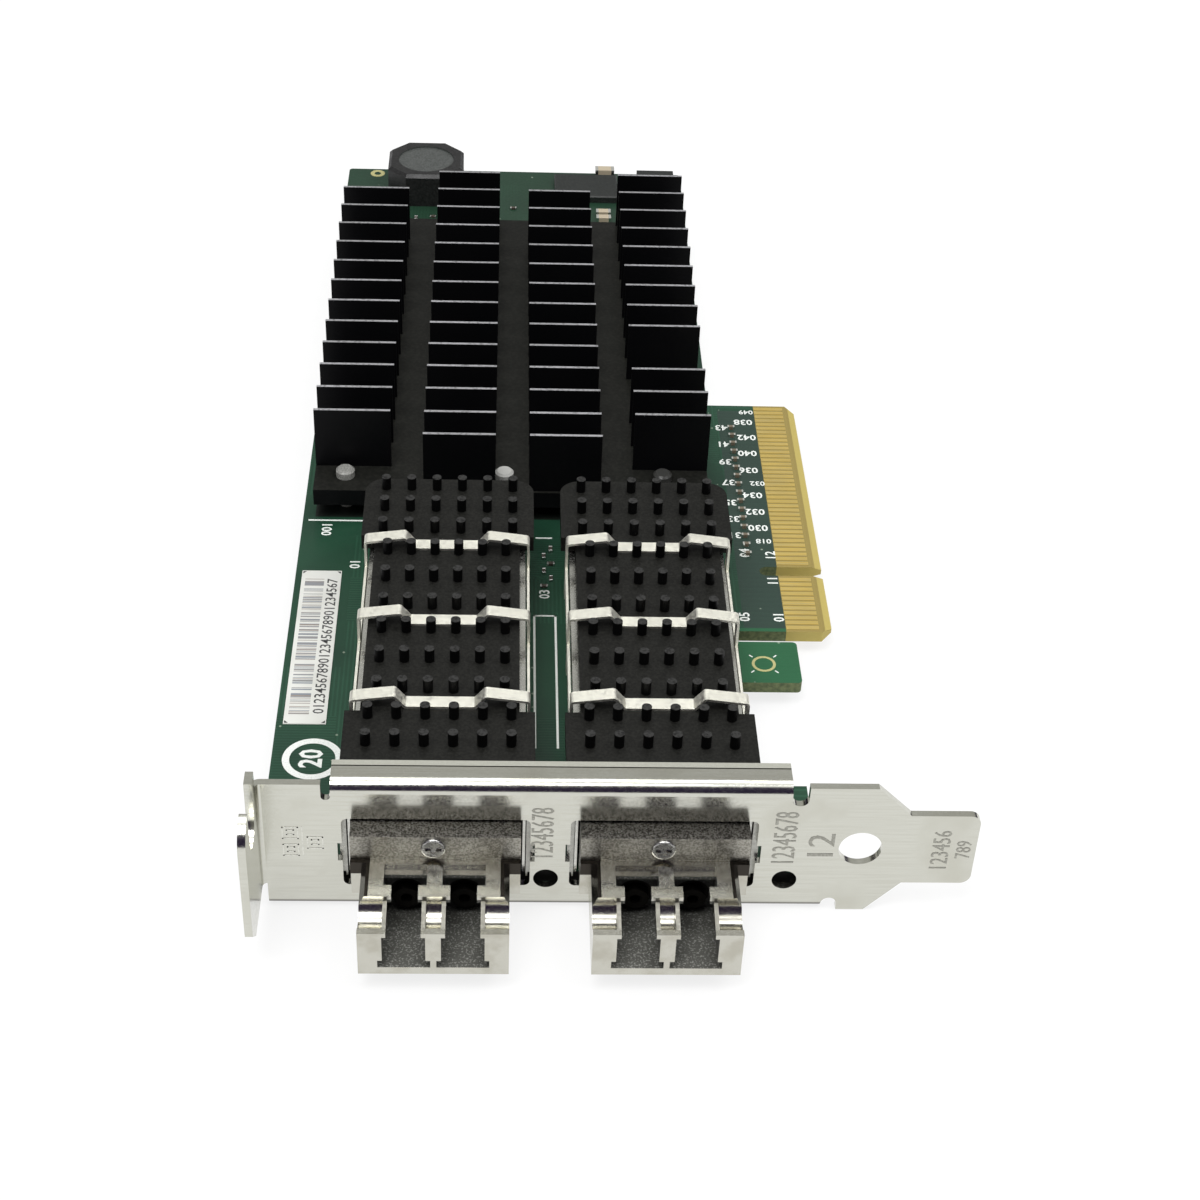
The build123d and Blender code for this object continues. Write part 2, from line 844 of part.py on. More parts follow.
def clip_band_piece(middle, band):
    """One cross band of a clip, notched where it passes the pins."""
    half = clip_line()
    line = [(-x, z) for x, z in half] + list(reversed(half))
    profile = trace(FilletPolyline(*line, radius=clip_bend), line_width=clip_sheet)
    start = Plane(origin=(middle, band - clip_band / 2, 0), x_dir=(1, 0, 0), z_dir=(0, -1, 0))
    piece = extrude(start * profile, amount=clip_band, dir=(0, 1, 0))
    room = pin_diameter + 2 * clip_pin_gap
    for x, y in pin_places(middle):
        if abs(y - band) < (clip_band + room) / 2:
            piece -= disc(x, y, pin_plate_upper, pin_plate_upper + pin_height, room)
    return piece


def heat_sink_clip(middle):
    """The stamped spring clip: three bands joined by a rail along each side of the cage."""
    clip = clip_band_piece(middle, clip_bands[0])
    for band in clip_bands[1:]:
        clip += clip_band_piece(middle, band)
    rail_top = cage_top - clip_rail_drop
    for side in (-1, 1):
        edges = sorted((middle + side * clip_half, middle + side * (clip_half - clip_sheet)))
        clip += block(*edges, clip_bands[0], clip_bands[-1], rail_top - clip_rail_height, rail_top)
    return clip


def column_spans():
    """The X ranges of the four columns of fins."""
    cuts = [sink_middle + channel_pitch * step for step in (-1, 0, 1)]
    starts = [sink_start_x] + [cut + channel_width / 2 for cut in cuts]
    ends = [cut - channel_width / 2 for cut in cuts] + [sink_start_x + sink_width]
    return list(zip(starts, ends))


def main_heat_sink():
    """The black heat sink over the chips: a plate with four columns of thin fins."""
    sink = block(sink_start_x, sink_start_x + sink_width, sink_start, sink_end, sink_lower, sink_upper)
    rows = int((sink_end - fin_first) / fin_pitch)
    last_rows = (rows - 1, rows, rows - 1, rows)
    front_row = (False, True, True, False)
    missing_row = (None, None, None, 3)
    for span, last, front, missing in zip(column_spans(), last_rows, front_row, missing_row):
        places = [fin_first + fin_pitch * row for row in range(last + 1) if row != missing]
        if front:
            places.append(fin_first - short_row_pitch)
        for y in places:
            low = y - fin_thickness / 2
            sink += block(span[0], span[1], low, low + fin_thickness, sink_upper, fin_top)
    for x, y in push_pin_places():
        sink -= disc(x, y, sink_lower - cut_margin, sink_upper + cut_margin, push_pin_hole)
    return sink


def push_pin(x, y):
    """A push pin: round head, shank and the barb that locks under the board."""
    under = -board_thickness
    head = disc(x, y, sink_upper, sink_upper + push_pin_head_height, push_pin_head)
    head = chamfer(head.edges().group_by(Axis.Z)[-1], push_pin_head_height / 4)
    shank = disc(x, y, under, sink_upper, push_pin_shank)
    height = push_pin_barb_height
    cone = Cone(push_pin_tip / 2, push_pin_barb / 2, height, align=(Align.CENTER, Align.CENTER, Align.MIN))
    return head + shank + Pos(x, y, under - height) * cone


def square_chip(x, y, side):
    """A flat square chip soldered to the board."""
    half = side / 2
    chip = block(x - half, x + half, y - half, y + half, 0, chip_height)
    return chamfer(chip.edges().group_by(Axis.Z)[-1], chip_edge)


def heat_pad(x, y, side):
    """The soft pad between a chip and the main heat sink."""
    half = (side - pad_margin) / 2
    return block(x - half, x + half, y - half, y + half, chip_height, sink_lower)


def converter_places():
    """Middles of the two signal converter chips, one behind each module."""
    return [controller_x - converter_spacing / 2, controller_x + converter_spacing / 2]


def power_inductor():
    """The eight-sided moulded inductor with a shallow round dish on top."""
    half = inductor_side / 2
    y = board_end - inductor_inset - half
    body = block(inductor_x - half, inductor_x + half, y - half, y + half, 0, inductor_height)
    body = chamfer(body.edges().filter_by(Axis.Z), inductor_corner)
    body = chamfer(body.edges().group_by(Axis.Z)[-1], inductor_edge)
    dish_floor = inductor_height - inductor_dish_depth
    return body - disc(inductor_x, y, dish_floor, inductor_height + cut_margin, inductor_dish)


def large_chip():
    """The wide low chip beside the far edge."""
    half = large_chip_width / 2
    depth = large_chip_depth / 2
    chip = block(
        large_chip_x - half, large_chip_x + half, large_chip_y - depth, large_chip_y + depth,
        0, large_chip_height,
    )
    return chamfer(chip.edges().group_by(Axis.Z)[-1], chip_edge)


def regulator_chip():
    """The low chip at the far edge of the board."""
    half = regulator_width / 2
    end = board_end - regulator_inset
    return block(regulator_x - half, regulator_x + half, end - regulator_depth, end, 0, regulator_height)


def end_capacitors():
    """The loose ceramic capacitors at the far end."""
    def lie(x, y, length, width, height):
        return block(x - length / 2, x + length / 2, y - width / 2, y + width / 2, 0, height)

    y = board_end - end_capacitor_inset
    pieces = [lie(end_capacitor_x, y, end_capacitor_length, end_capacitor_width, end_capacitor_height)]
    for number in range(2):
        y = pair_capacitor_y + pair_capacitor_pitch * number
        pair = lie(pair_capacitor_x, y, pair_capacitor_length, pair_capacitor_width, pair_capacitor_height)
        pieces.append(pair)
    return pieces


def coupling_capacitors():
    """The row of tiny capacitors beside the edge contacts."""
    pieces = []
    for number in range(coupling_count):
        start_x = coupling_x - coupling_length / 2
        start_y = coupling_first + coupling_pitch * number - coupling_width / 2
        end_x = start_x + coupling_length
        pieces.append(block(start_x, end_x, start_y, start_y + coupling_width, 0, coupling_height))
    return pieces


def signal_lamp(middle):
    """A small lamp standing on the board behind its hole in the bracket."""
    half = lamp_width / 2
    start = board_start + lamp_lens_length
    body = block(middle - half, middle + half, start, start + lamp_depth, 0, lamp_body_height)
    return body + rod(middle, board_start, start, lamp_height, lamp_lens)


def barcode_label():
    """The thin label stuck to the board beside the first module."""
    end = label_start + label_length
    return block(label_start_x, label_start_x + label_width, label_start, end, 0, label_thickness)


def save(name, solids):
    """Move the piece to the shared origin and write it."""
    shift = Pos(-bracket_length / 2, (nose_reach - board_end) / 2, -bracket_bottom)
    group = [shift * solid for solid in solids]
    shape = group[0] if len(group) == 1 else Compound(children=group)
    export_step(shape, f"parts/{name}.step")


def module_parts(letter, middle):
    """Everything that belongs to one optical port."""
    body = module_body(middle)
    for post in board_posts(middle):
        body += post
    save(f"module_body_{letter}", [body])
    save(f"module_cover_{letter}", [module_cover(middle)])
    save(f"module_screw_{letter}", [module_screw_piece(middle)])
    save(f"module_circuit_{letter}", [module_circuit(middle)])
    save(f"laser_{letter}", [optics(middle - port_pitch / 2)])
    save(f"light_detector_{letter}", [optics(middle + port_pitch / 2)])
    save(f"cage_{letter}", [cage(middle)])
    save(f"cage_gasket_{letter}", [cage_gasket(middle)])
    save(f"host_connector_{letter}", [host_connector(middle)])
    save(f"pin_heat_sink_{letter}", [pin_heat_sink(middle)])
    save(f"heat_sink_clip_{letter}", [heat_sink_clip(middle)])


def main():
    os.makedirs("parts", exist_ok=True)
    save("circuit_board", [circuit_board()])
    save("edge_contacts_upper", edge_contacts(0, contact_thickness))
    save("edge_contacts_lower", edge_contacts(-board_thickness - contact_thickness, -board_thickness))
    save("bracket", [bracket()])
    save("bracket_screws", [bracket_screw(middle) for middle in lug_places])
    for letter, middle in zip("ab", module_middles):
        module_parts(letter, middle)
    save("main_heat_sink", [main_heat_sink()])
    save("push_pins", [push_pin(x, y) for x, y in push_pin_places()])
    save("controller_chip", [square_chip(controller_x, controller_y, controller_side)])
    save("controller_heat_pad", [heat_pad(controller_x, controller_y, controller_side)])
    for letter, x in zip("ab", converter_places()):
        save(f"converter_chip_{letter}", [square_chip(x, converter_y, converter_side)])
        save(f"converter_heat_pad_{letter}", [heat_pad(x, converter_y, converter_side)])
    save("power_inductor", [power_inductor()])
    save("large_chip", [large_chip()])
    save("regulator_chip", [regulator_chip()])
    save("end_capacitors", end_capacitors())
    save("coupling_capacitors", coupling_capacitors())
    save("signal_lamps", [signal_lamp(middle) for middle in lamp_places])
    save("barcode_label", [barcode_label()])


main()
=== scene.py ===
"""Looks of a low-profile network interface card with two optical modules.

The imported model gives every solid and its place. This script dresses those solids, adds the
thin printed marks and small soldered parts, and sets the studio and the camera.
"""

import logging
import math
import random
from dataclasses import dataclass
from enum import Enum
from typing import Iterable, Sequence

import bmesh
import bpy
from mathutils import Matrix, Vector

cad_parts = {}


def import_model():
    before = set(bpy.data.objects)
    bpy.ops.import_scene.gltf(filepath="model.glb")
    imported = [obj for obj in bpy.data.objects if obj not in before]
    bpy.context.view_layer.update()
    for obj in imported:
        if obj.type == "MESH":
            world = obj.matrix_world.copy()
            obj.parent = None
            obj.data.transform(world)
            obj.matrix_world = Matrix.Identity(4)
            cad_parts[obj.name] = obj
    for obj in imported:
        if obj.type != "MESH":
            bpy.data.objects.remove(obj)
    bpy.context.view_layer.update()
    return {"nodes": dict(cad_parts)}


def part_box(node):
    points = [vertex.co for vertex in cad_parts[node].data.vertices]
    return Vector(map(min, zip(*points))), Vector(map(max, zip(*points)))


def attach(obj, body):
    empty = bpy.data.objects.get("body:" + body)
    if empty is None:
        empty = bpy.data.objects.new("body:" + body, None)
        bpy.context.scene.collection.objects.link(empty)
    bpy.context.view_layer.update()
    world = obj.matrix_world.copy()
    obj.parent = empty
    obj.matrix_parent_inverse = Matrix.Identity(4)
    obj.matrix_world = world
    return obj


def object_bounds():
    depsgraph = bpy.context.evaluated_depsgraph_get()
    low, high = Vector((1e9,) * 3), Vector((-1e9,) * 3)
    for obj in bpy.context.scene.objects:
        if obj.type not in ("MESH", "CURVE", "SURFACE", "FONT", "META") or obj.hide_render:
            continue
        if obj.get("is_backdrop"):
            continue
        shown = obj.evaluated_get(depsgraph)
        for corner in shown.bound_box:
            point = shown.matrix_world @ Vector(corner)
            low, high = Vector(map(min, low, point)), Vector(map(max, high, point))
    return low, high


LOG = logging.getLogger("network_card")

Colour = tuple[float, float, float]
Place = tuple[float, float, float]
Socket = bpy.types.NodeSocket
Value = float | Socket
Mesh = bmesh.types.BMesh

MM_PER_METRE = 1000

# The two modules' middles along X, and the spacing of a module's two ports, in millimetres.
MODULE_MIDDLES = (19.95, 44.75)
PORT_PITCH = 6.25


class Operation(Enum):
    """The sums and comparisons that the graphs use."""

    PLUS = "ADD"
    MINUS = "SUBTRACT"
    TIMES = "MULTIPLY"
    OVER = "DIVIDE"
    ABOVE = "GREATER_THAN"
    BELOW = "LESS_THAN"
    LARGER = "MAXIMUM"
    SIZE = "ABSOLUTE"
    WHOLE = "FLOOR"
    FRACTION = "FRACT"
    ROOT = "SQRT"


class Slot(Enum):
    """Names of material slots, passed along with the added pieces."""

    BOARD = "board"
    CONTACT = "contact_gold"
    BRACKET = "bracket_metal"
    MODULE = "module_metal"
    CAPACITOR = "capacitor"
    LABEL = "label"


class Reading(Enum):
    """How a line of digits is turned, in degrees from the direction across the board."""

    ALONG_BOARD = 90.0
    FROM_FAR_END = 180.0


@dataclass(frozen=True)
class Ramp:
    """A smooth change from start to end while the input goes from low to high."""

    low: float
    high: float
    start: float = 0.0
    end: float = 1.0


@dataclass(frozen=True)
class Region:
    """A box in the board's millimetres, by its two corners."""

    low: Place
    high: Place


@dataclass(frozen=True)
class Space:
    """Turns millimetres counted from the board's near left corner into the frame's metres.

    X runs towards the contacts, Y away from the bracket's outer face, Z up from the board.
    """

    left: float
    near: float
    low: float

    @staticmethod
    def of_board(board_end: float = 168.5) -> "Space":
        """Returns the space, read from the board's box and its far edge's distance from the bracket."""
        low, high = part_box("circuit_board")
        return Space(-low[0] * MM_PER_METRE, board_end - high[1] * MM_PER_METRE, high[2] * MM_PER_METRE)

    def point(self, x: float, y: float, z: float) -> Vector:
        """Returns the place in the frame's metres."""
        moved = (x - self.left, y - self.near, z + self.low)
        return Vector([number / MM_PER_METRE for number in moved])


class Graph:
    """A node tree with short calls for adding and joining nodes."""

    NOISE_LOW = 0.3
    NOISE_HIGH = 0.7
    FIRST_COLOUR = 6
    SECOND_COLOUR = 7
    BLENDED_COLOUR = 2

    def __init__(self, tree: bpy.types.NodeTree) -> None:
        """Keeps the tree that nodes are added to."""
        self.tree = tree

    @staticmethod
    def of(owner: bpy.types.Material | bpy.types.World) -> "Graph":
        """Switches an owner's nodes on and empties them.

        Args:
            owner: A material or a world.

        Returns:
            The graph of the owner's empty tree.
        """
        owner.use_nodes = True
        owner.node_tree.nodes.clear()
        return Graph(owner.node_tree)

    def add(self, kind: str, **settings: object) -> bpy.types.Node:
        """Adds one node.

        Args:
            kind: The node's type name.
            **settings: Properties to set on the node.

        Returns:
            The new node.
        """
        node = self.tree.nodes.new(kind)
        for name, value in settings.items():
            setattr(node, name, value)
        return node

    def feed(self, socket: Socket, value: object) -> None:
        """Links a socket to another, or sets its own value.

        Args:
            socket: The input to feed.
            value: Another socket, a colour or a plain value.
        """
        if isinstance(value, bpy.types.NodeSocket):
            self.tree.links.new(value, socket)
        elif isinstance(value, tuple) and len(value) == 3 and len(socket.default_value) == 4:
            socket.default_value = (*value, 1.0)
        else:
            socket.default_value = value

    def math(self, operation: Operation, *values: Value) -> Socket:
        """Adds one sum or comparison.

        Args:
            operation: What is done with the values.
            *values: One or two values or sockets, as the operation needs.

        Returns:
            The result's socket.
        """
        node = self.add("ShaderNodeMath", operation=operation.value)
        for socket, value in zip(node.inputs, values):
            self.feed(socket, value)
        return node.outputs[0]

    def plus(self, first: Value, second: Value) -> Socket:
        """Returns the sum of two values."""
        return self.math(Operation.PLUS, first, second)

    def minus(self, first: Value, second: Value) -> Socket:
        """Returns the first value less the second."""
        return self.math(Operation.MINUS, first, second)

    def times(self, first: Value, second: Value) -> Socket:
        """Returns the product of two values, or where two masks meet."""
        return self.math(Operation.TIMES, first, second)

    def above(self, first: Value, second: Value) -> Socket:
        """Returns 1 where the first value is greater than the second."""
        return self.math(Operation.ABOVE, first, second)

    def below(self, first: Value, second: Value) -> Socket:
        """Returns 1 where the first value is less than the second."""
        return self.math(Operation.BELOW, first, second)

    def larger(self, first: Value, second: Value) -> Socket:
        """Returns the larger of two values, or two masks together."""
        return self.math(Operation.LARGER, first, second)

    def apart(self, first: Value, second: Value) -> Socket:
        """Returns how far two values lie apart."""
        return self.math(Operation.SIZE, self.minus(first, second))

    def stripes(self, value: Value, share: float) -> Socket:
        """Returns 1 over the first share of every whole step of the value."""
        return self.below(self.math(Operation.FRACTION, value), share)

    def mix(self, factor: Value, first: object, second: object) -> Socket:
        """Blends two colours.

        Args:
            factor: 0 gives the first colour and 1 the second.
            first: A colour or a socket.
            second: A colour or a socket.

        Returns:
            The blended colour's socket.
        """
        node = self.add("ShaderNodeMix", data_type="RGBA")
        self.feed(node.inputs[0], factor)
        self.feed(node.inputs[self.FIRST_COLOUR], first)
        self.feed(node.inputs[self.SECOND_COLOUR], second)
        return node.outputs[self.BLENDED_COLOUR]

    def ease(self, value: Value, ramp: Ramp) -> Socket:
        """Maps a value smoothly from one range to another.

        Args:
            value: The value or socket to map.
            ramp: The two ranges.

        Returns:
            The mapped value's socket.
        """
        node = self.add("ShaderNodeMapRange", interpolation_type="SMOOTHSTEP")
        for socket, number in zip(node.inputs, (value, ramp.low, ramp.high, ramp.start, ramp.end)):
            self.feed(socket, number)
        return node.outputs[0]

    def vary(self, noise: Socket, start: float, end: float) -> Socket:
        """Returns a value that follows a noise texture from start to end."""
        return self.ease(noise, Ramp(self.NOISE_LOW, self.NOISE_HIGH, start, end))

    def parts(self, vector: Socket) -> tuple[Socket, Socket, Socket]:
        """Splits a vector.

        Args:
            vector: The vector's socket.

        Returns:
            Its X, Y and Z sockets.
        """
        node = self.add("ShaderNodeSeparateXYZ")
        self.feed(node.inputs[0], vector)
        return node.outputs[0], node.outputs[1], node.outputs[2]

    def shift(self, vector: Socket, offset: Sequence[float], scale: Sequence[float]) -> Socket:
        """Moves a vector and then scales it.

        Args:
            vector: The vector's socket.
            offset: What is added on each axis.
            scale: What each axis is then multiplied by.

        Returns:
            The new vector's socket.
        """
        for operation, numbers in (("ADD", offset), ("MULTIPLY", scale)):
            node = self.add("ShaderNodeVectorMath", operation=operation)
            self.feed(node.inputs[0], vector)
            node.inputs[1].default_value = numbers
            vector = node.outputs[0]
        return vector

    def blend(self, factor: Socket, first: Socket, second: Socket) -> Socket:
        """Blends two shaders.

        Args:
            factor: 0 gives the first shader and 1 the second.
            first: The first shader's socket.
            second: The second shader's socket.

        Returns:
            The blended shader's socket.
        """
        node = self.add("ShaderNodeMixShader")
        for socket, value in zip(node.inputs, (factor, first, second)):
            self.feed(socket, value)
        return node.outputs[0]

    def show(self, kind: str, shader: Socket) -> None:
        """Links a shader to a new output node of the given kind."""
        self.feed(self.add(kind).inputs[0], shader)


class Effects:
    """Node groups that several materials share. Every length in them is in millimetres."""

    GRAIN_DETAIL = 4.0
    CLOUD_DETAIL = 3.0
    STREAK_DETAIL = 3.0
    STREAK_STRETCH = (0.03, 1.0, 1.0)

    def __init__(self) -> None:
        """Builds each group once."""
        self.grain = self._grain()
        self.speckle = self._speckle()
        self.streaks = self._streaks()
        self.inside = self._inside()

    @staticmethod
    def _group(name: str, inputs: dict[str, float | None], outputs: Iterable[str]) -> tuple:
        """Starts a node group.

        Args:
            name: The group's name.
            inputs: Each input's name with its own value, or None for a vector.
            outputs: The name of each output, all of them plain values.

        Returns:
            The group's graph, its input node and its output node.
        """
        tree = bpy.data.node_groups.new(name, "ShaderNodeTree")
        for label, default in inputs.items():
            kind = "NodeSocketVector" if default is None else "NodeSocketFloat"
            socket = tree.interface.new_socket(label, in_out="INPUT", socket_type=kind)
            if default is not None:
                socket.default_value = default
        for label in outputs:
            tree.interface.new_socket(label, in_out="OUTPUT", socket_type="NodeSocketFloat")
        graph = Graph(tree)
        return graph, graph.add("NodeGroupInput"), graph.add("NodeGroupOutput")

    @staticmethod
    def _noise(graph: Graph, vector: Socket, size: Socket, detail: float) -> Socket:
        """Adds a noise texture.

        Args:
            graph: The graph that it goes into.
            vector: The place.
            size: The size of the noise's patches.
            detail: How many finer layers it has.

        Returns:
            The noise's value.
        """
        noise = graph.add("ShaderNodeTexNoise")
        noise.inputs["Detail"].default_value = detail
        graph.feed(noise.inputs["Vector"], vector)
        graph.feed(noise.inputs["Scale"], graph.math(Operation.OVER, 1.0, size))
        return noise.outputs[0]

    def _grain(self) -> bpy.types.NodeTree:
        """Makes fine casting or powder grain, with slow clouds for stains and handling marks.

        Returns:
            The group, which puts out the grain and the clouds.
        """
        inputs = {"Vector": None, "Grain": 0.3, "Cloud": 8.0}
        graph, source, target = self._group("fine_grain", inputs, ["Grain", "Cloud"])
        for label, detail in (("Grain", self.GRAIN_DETAIL), ("Cloud", self.CLOUD_DETAIL)):
            noise = self._noise(graph, source.outputs["Vector"], source.outputs[label], detail)
            graph.feed(target.inputs[label], noise)
        return graph.tree

    def _speckle(self) -> bpy.types.NodeTree:
        """Makes sparse round points, such as glints on a casting's crystals or plated holes in a board.

        Returns:
            The group, which puts out a mask of the points.
        """
        inputs = {"Vector": None, "Spacing": 1.0, "Radius": 0.2, "Share": 0.5}
        graph, source, target = self._group("sparse_points", inputs, ["Mask"])
        spacing = source.outputs["Spacing"]
        cells = graph.add("ShaderNodeTexVoronoi", feature="F1")
        graph.feed(cells.inputs["Vector"], source.outputs["Vector"])
        graph.feed(cells.inputs["Scale"], graph.math(Operation.OVER, 1.0, spacing))
        near = graph.below(graph.times(cells.outputs["Distance"], spacing), source.outputs["Radius"])
        colour = graph.add("ShaderNodeSeparateColor")
        graph.feed(colour.inputs[0], cells.outputs["Color"])
        chosen = graph.below(colour.outputs["Red"], source.outputs["Share"])
        graph.feed(target.inputs["Mask"], graph.times(near, chosen))
        return graph.tree

    def _streaks(self) -> bpy.types.NodeTree:
        """Makes long fine lines along X, as rolling and brushing leave on sheet.

        Returns:
            The group, which puts out the lines as a soft value.
        """
        graph, source, target = self._group("rolled_streaks", {"Vector": None, "Width": 0.2}, ["Value"])
        stretched = graph.shift(source.outputs["Vector"], (0, 0, 0), self.STREAK_STRETCH)
        streaks = self._noise(graph, stretched, source.outputs["Width"], self.STREAK_DETAIL)
        graph.feed(target.inputs["Value"], streaks)
        return graph.tree

    def _inside(self) -> bpy.types.NodeTree:
        """Makes a mask that is 1 inside a box given by its two corners.

        Returns:
            The group, which puts out the mask.
        """
        inputs = {"Vector": None, "Low": None, "High": None}
        graph, source, target = self._group("inside_box", inputs, ["Mask"])
        places, lows, highs = (graph.parts(source.outputs[label]) for label in inputs)
        result = None
        for place, low, high in zip(places, lows, highs):
            both = graph.times(graph.above(place, low), graph.below(place, high))
            result = both if result is None else graph.times(result, both)
        graph.feed(target.inputs["Mask"], result)
        return graph.tree


class Paint:
    """One material being made: its graph, its shader, and the place and facing that it reads.

    Place is in the board's millimetres, and upward is 1 on faces that look up and -1 below.
    """

    def __init__(self, name: str, space: Space, effects: Effects) -> None:
        """Starts a material whose place is in the board's own millimetres.

        Args:
            name: The material's name.
            space: The board's millimetres.
            effects: The shared node groups.
        """
        self.material = bpy.data.materials.new(name)
        self.graph = Graph.of(self.material)
        self.effects = effects
        self.shader = self.graph.add("ShaderNodeBsdfPrincipled")
        self.graph.show("ShaderNodeOutputMaterial", self.shader.outputs[0])
        coordinates = self.graph.add("ShaderNodeTexCoord").outputs["Object"]
        offset = [number / MM_PER_METRE for number in (space.left, space.near, -space.low)]
        self.place = self.graph.shift(coordinates, offset, [MM_PER_METRE] * 3)
        self.x, self.y, self.z = self.graph.parts(self.place)
        normal = self.graph.add("ShaderNodeNewGeometry").outputs["Normal"]
        self.upward = self.graph.parts(normal)[2]

    def set(self, **values: object) -> None:
        """Sets or links the shader's own sockets; an underline stands for a space."""
        for name, value in values.items():
            self.graph.feed(self.shader.inputs[name.replace("_", " ")], value)

    def use(self, tree: bpy.types.NodeTree, **values: object) -> bpy.types.Node:
        """Places a shared group on this material's place.

        Args:
            tree: The group.
            **values: The group's other inputs.

        Returns:
            The group's node.
        """
        node = self.graph.add("ShaderNodeGroup", node_tree=tree)
        self.graph.feed(node.inputs["Vector"], self.place)
        for name, value in values.items():
            self.graph.feed(node.inputs[name], value)
        return node

    def noise(self, grain: float, cloud: float) -> tuple[Socket, Socket]:
        """Returns the grain and the clouds for patches of these two sizes."""
        node = self.use(self.effects.grain, Grain=grain, Cloud=cloud)
        return node.outputs["Grain"], node.outputs["Cloud"]

    def streaks(self, width: float) -> Socket:
        """Returns fine lines of the given width."""
        return self.use(self.effects.streaks, Width=width).outputs[0]

    def points(self, spacing: float, radius: float, share: float) -> Socket:
        """Returns a mask of sparse round points."""
        return self.use(self.effects.speckle, Spacing=spacing, Radius=radius, Share=share).outputs[0]

    def within(self, region: Region) -> Socket:
        """Returns a mask that is 1 inside a region."""
        return self.use(self.effects.inside, Low=region.low, High=region.high).outputs[0]

    def bump(self, height: Socket, strength: float, depth: float) -> None:
        """Raises the surface by a height.

        Args:
            height: The height's socket.
            strength: How much of the effect is used, up to 1.
            depth: The height of 1, in millimetres.
        """
        node = self.graph.add("ShaderNodeBump")
        node.inputs["Strength"].default_value = strength
        node.inputs["Distance"].default_value = depth / MM_PER_METRE
        self.graph.feed(node.inputs["Height"], height)
        self.graph.feed(self.shader.inputs["Normal"], node.outputs[0])


@dataclass(frozen=True)
class Finish:
    """A surface finish that can be made into a material."""

    name: str

    def make(self, space: Space, effects: Effects) -> bpy.types.Material:
        """Makes the material.

        Args:
            space: The board's millimetres.
            effects: The shared node groups.

        Returns:
            The new material.
        """
        paint = Paint(self.name, space, effects)
        self.dress(paint)
        return paint.material

    def dress(self, paint: Paint) -> None:
        """Adds the finish's nodes; each kind of finish has its own."""


@dataclass(frozen=True)
class PlatedSheet(Finish):
    """Nickel-plated or bright sheet metal with soft rolling lines and slight stains."""

    colour: Colour = (0.62, 0.62, 0.56)
    stain: Colour = (0.5, 0.49, 0.42)
    # Painted shade on faces that look down: the next colour, eased in by the ramp after it.
    under: Colour = (0.2, 0.17, 0.13)
    underside_shade: Ramp = Ramp(-0.75, -0.2, 0.95, 0.0)
    roughness: float = 0.26
    smoother: float = 0.8
    rougher: float = 1.25
    grain: float = 0.35
    cloud: float = 9.0
    line_width: float = 0.25
    stains: Ramp = Ramp(0.45, 0.75, 0.0, 0.6)
    lines: Ramp = Ramp(0.35, 0.7, 0.0, 0.3)
    relief: float = 0.0025
    relief_strength: float = 0.3

    def dress(self, paint: Paint) -> None:
        """Lines and clouds vary the tint and the gloss, and faces that look down get painted shade.

        Args:
            paint: The material being made.
        """
        graph = paint.graph
        grain, cloud = paint.noise(self.grain, self.cloud)
        streaks = paint.streaks(self.line_width)
        stained = graph.larger(graph.ease(cloud, self.stains), graph.ease(streaks, self.lines))
        colour = graph.mix(stained, self.colour, self.stain)
        # Painted shade darkens the faces that look down.
        colour = graph.mix(graph.ease(paint.upward, self.underside_shade), colour, self.under)
        gloss = graph.vary(grain, self.roughness * self.smoother, self.roughness * self.rougher)
        paint.set(Base_Color=self.mark(paint, colour), Metallic=1.0, Roughness=gloss)
        paint.bump(graph.plus(streaks, grain), self.relief_strength, self.relief)

    def mark(self, paint: Paint, colour: Socket) -> Socket:
        """Returns the colour as it is; a sheet with marks of its own changes it."""
        return colour


@dataclass(frozen=True)
class BracketSheet(PlatedSheet):
    """The bracket's bright nickel, with a painted shade line along the upper flange's far edge and a
    painted highlight band behind it.
    """

    # Painted shade line and painted highlight band along the upper flange's far edge.
    step_shade: Colour = (0.05, 0.045, 0.04)
    step_shade_region: Region = Region((-20.0, 3.02, 14.0), (90.0, 3.2, 20.0))
    bevel_highlight: Colour = (0.95, 0.95, 0.86)
    bevel_highlight_region: Region = Region((-20.0, 3.2, 14.0), (90.0, 10.0, 20.0))

    def mark(self, paint: Paint, colour: Socket) -> Socket:
        """Paints the shade line dark and the highlight band behind it bright.

        Args:
            paint: The material being made.
            colour: The plain sheet's colour.

        Returns:
            The marked sheet's colour.
        """
        graph = paint.graph
        colour = graph.mix(paint.within(self.bevel_highlight_region), colour, self.bevel_highlight)
        return graph.mix(paint.within(self.step_shade_region), colour, self.step_shade)


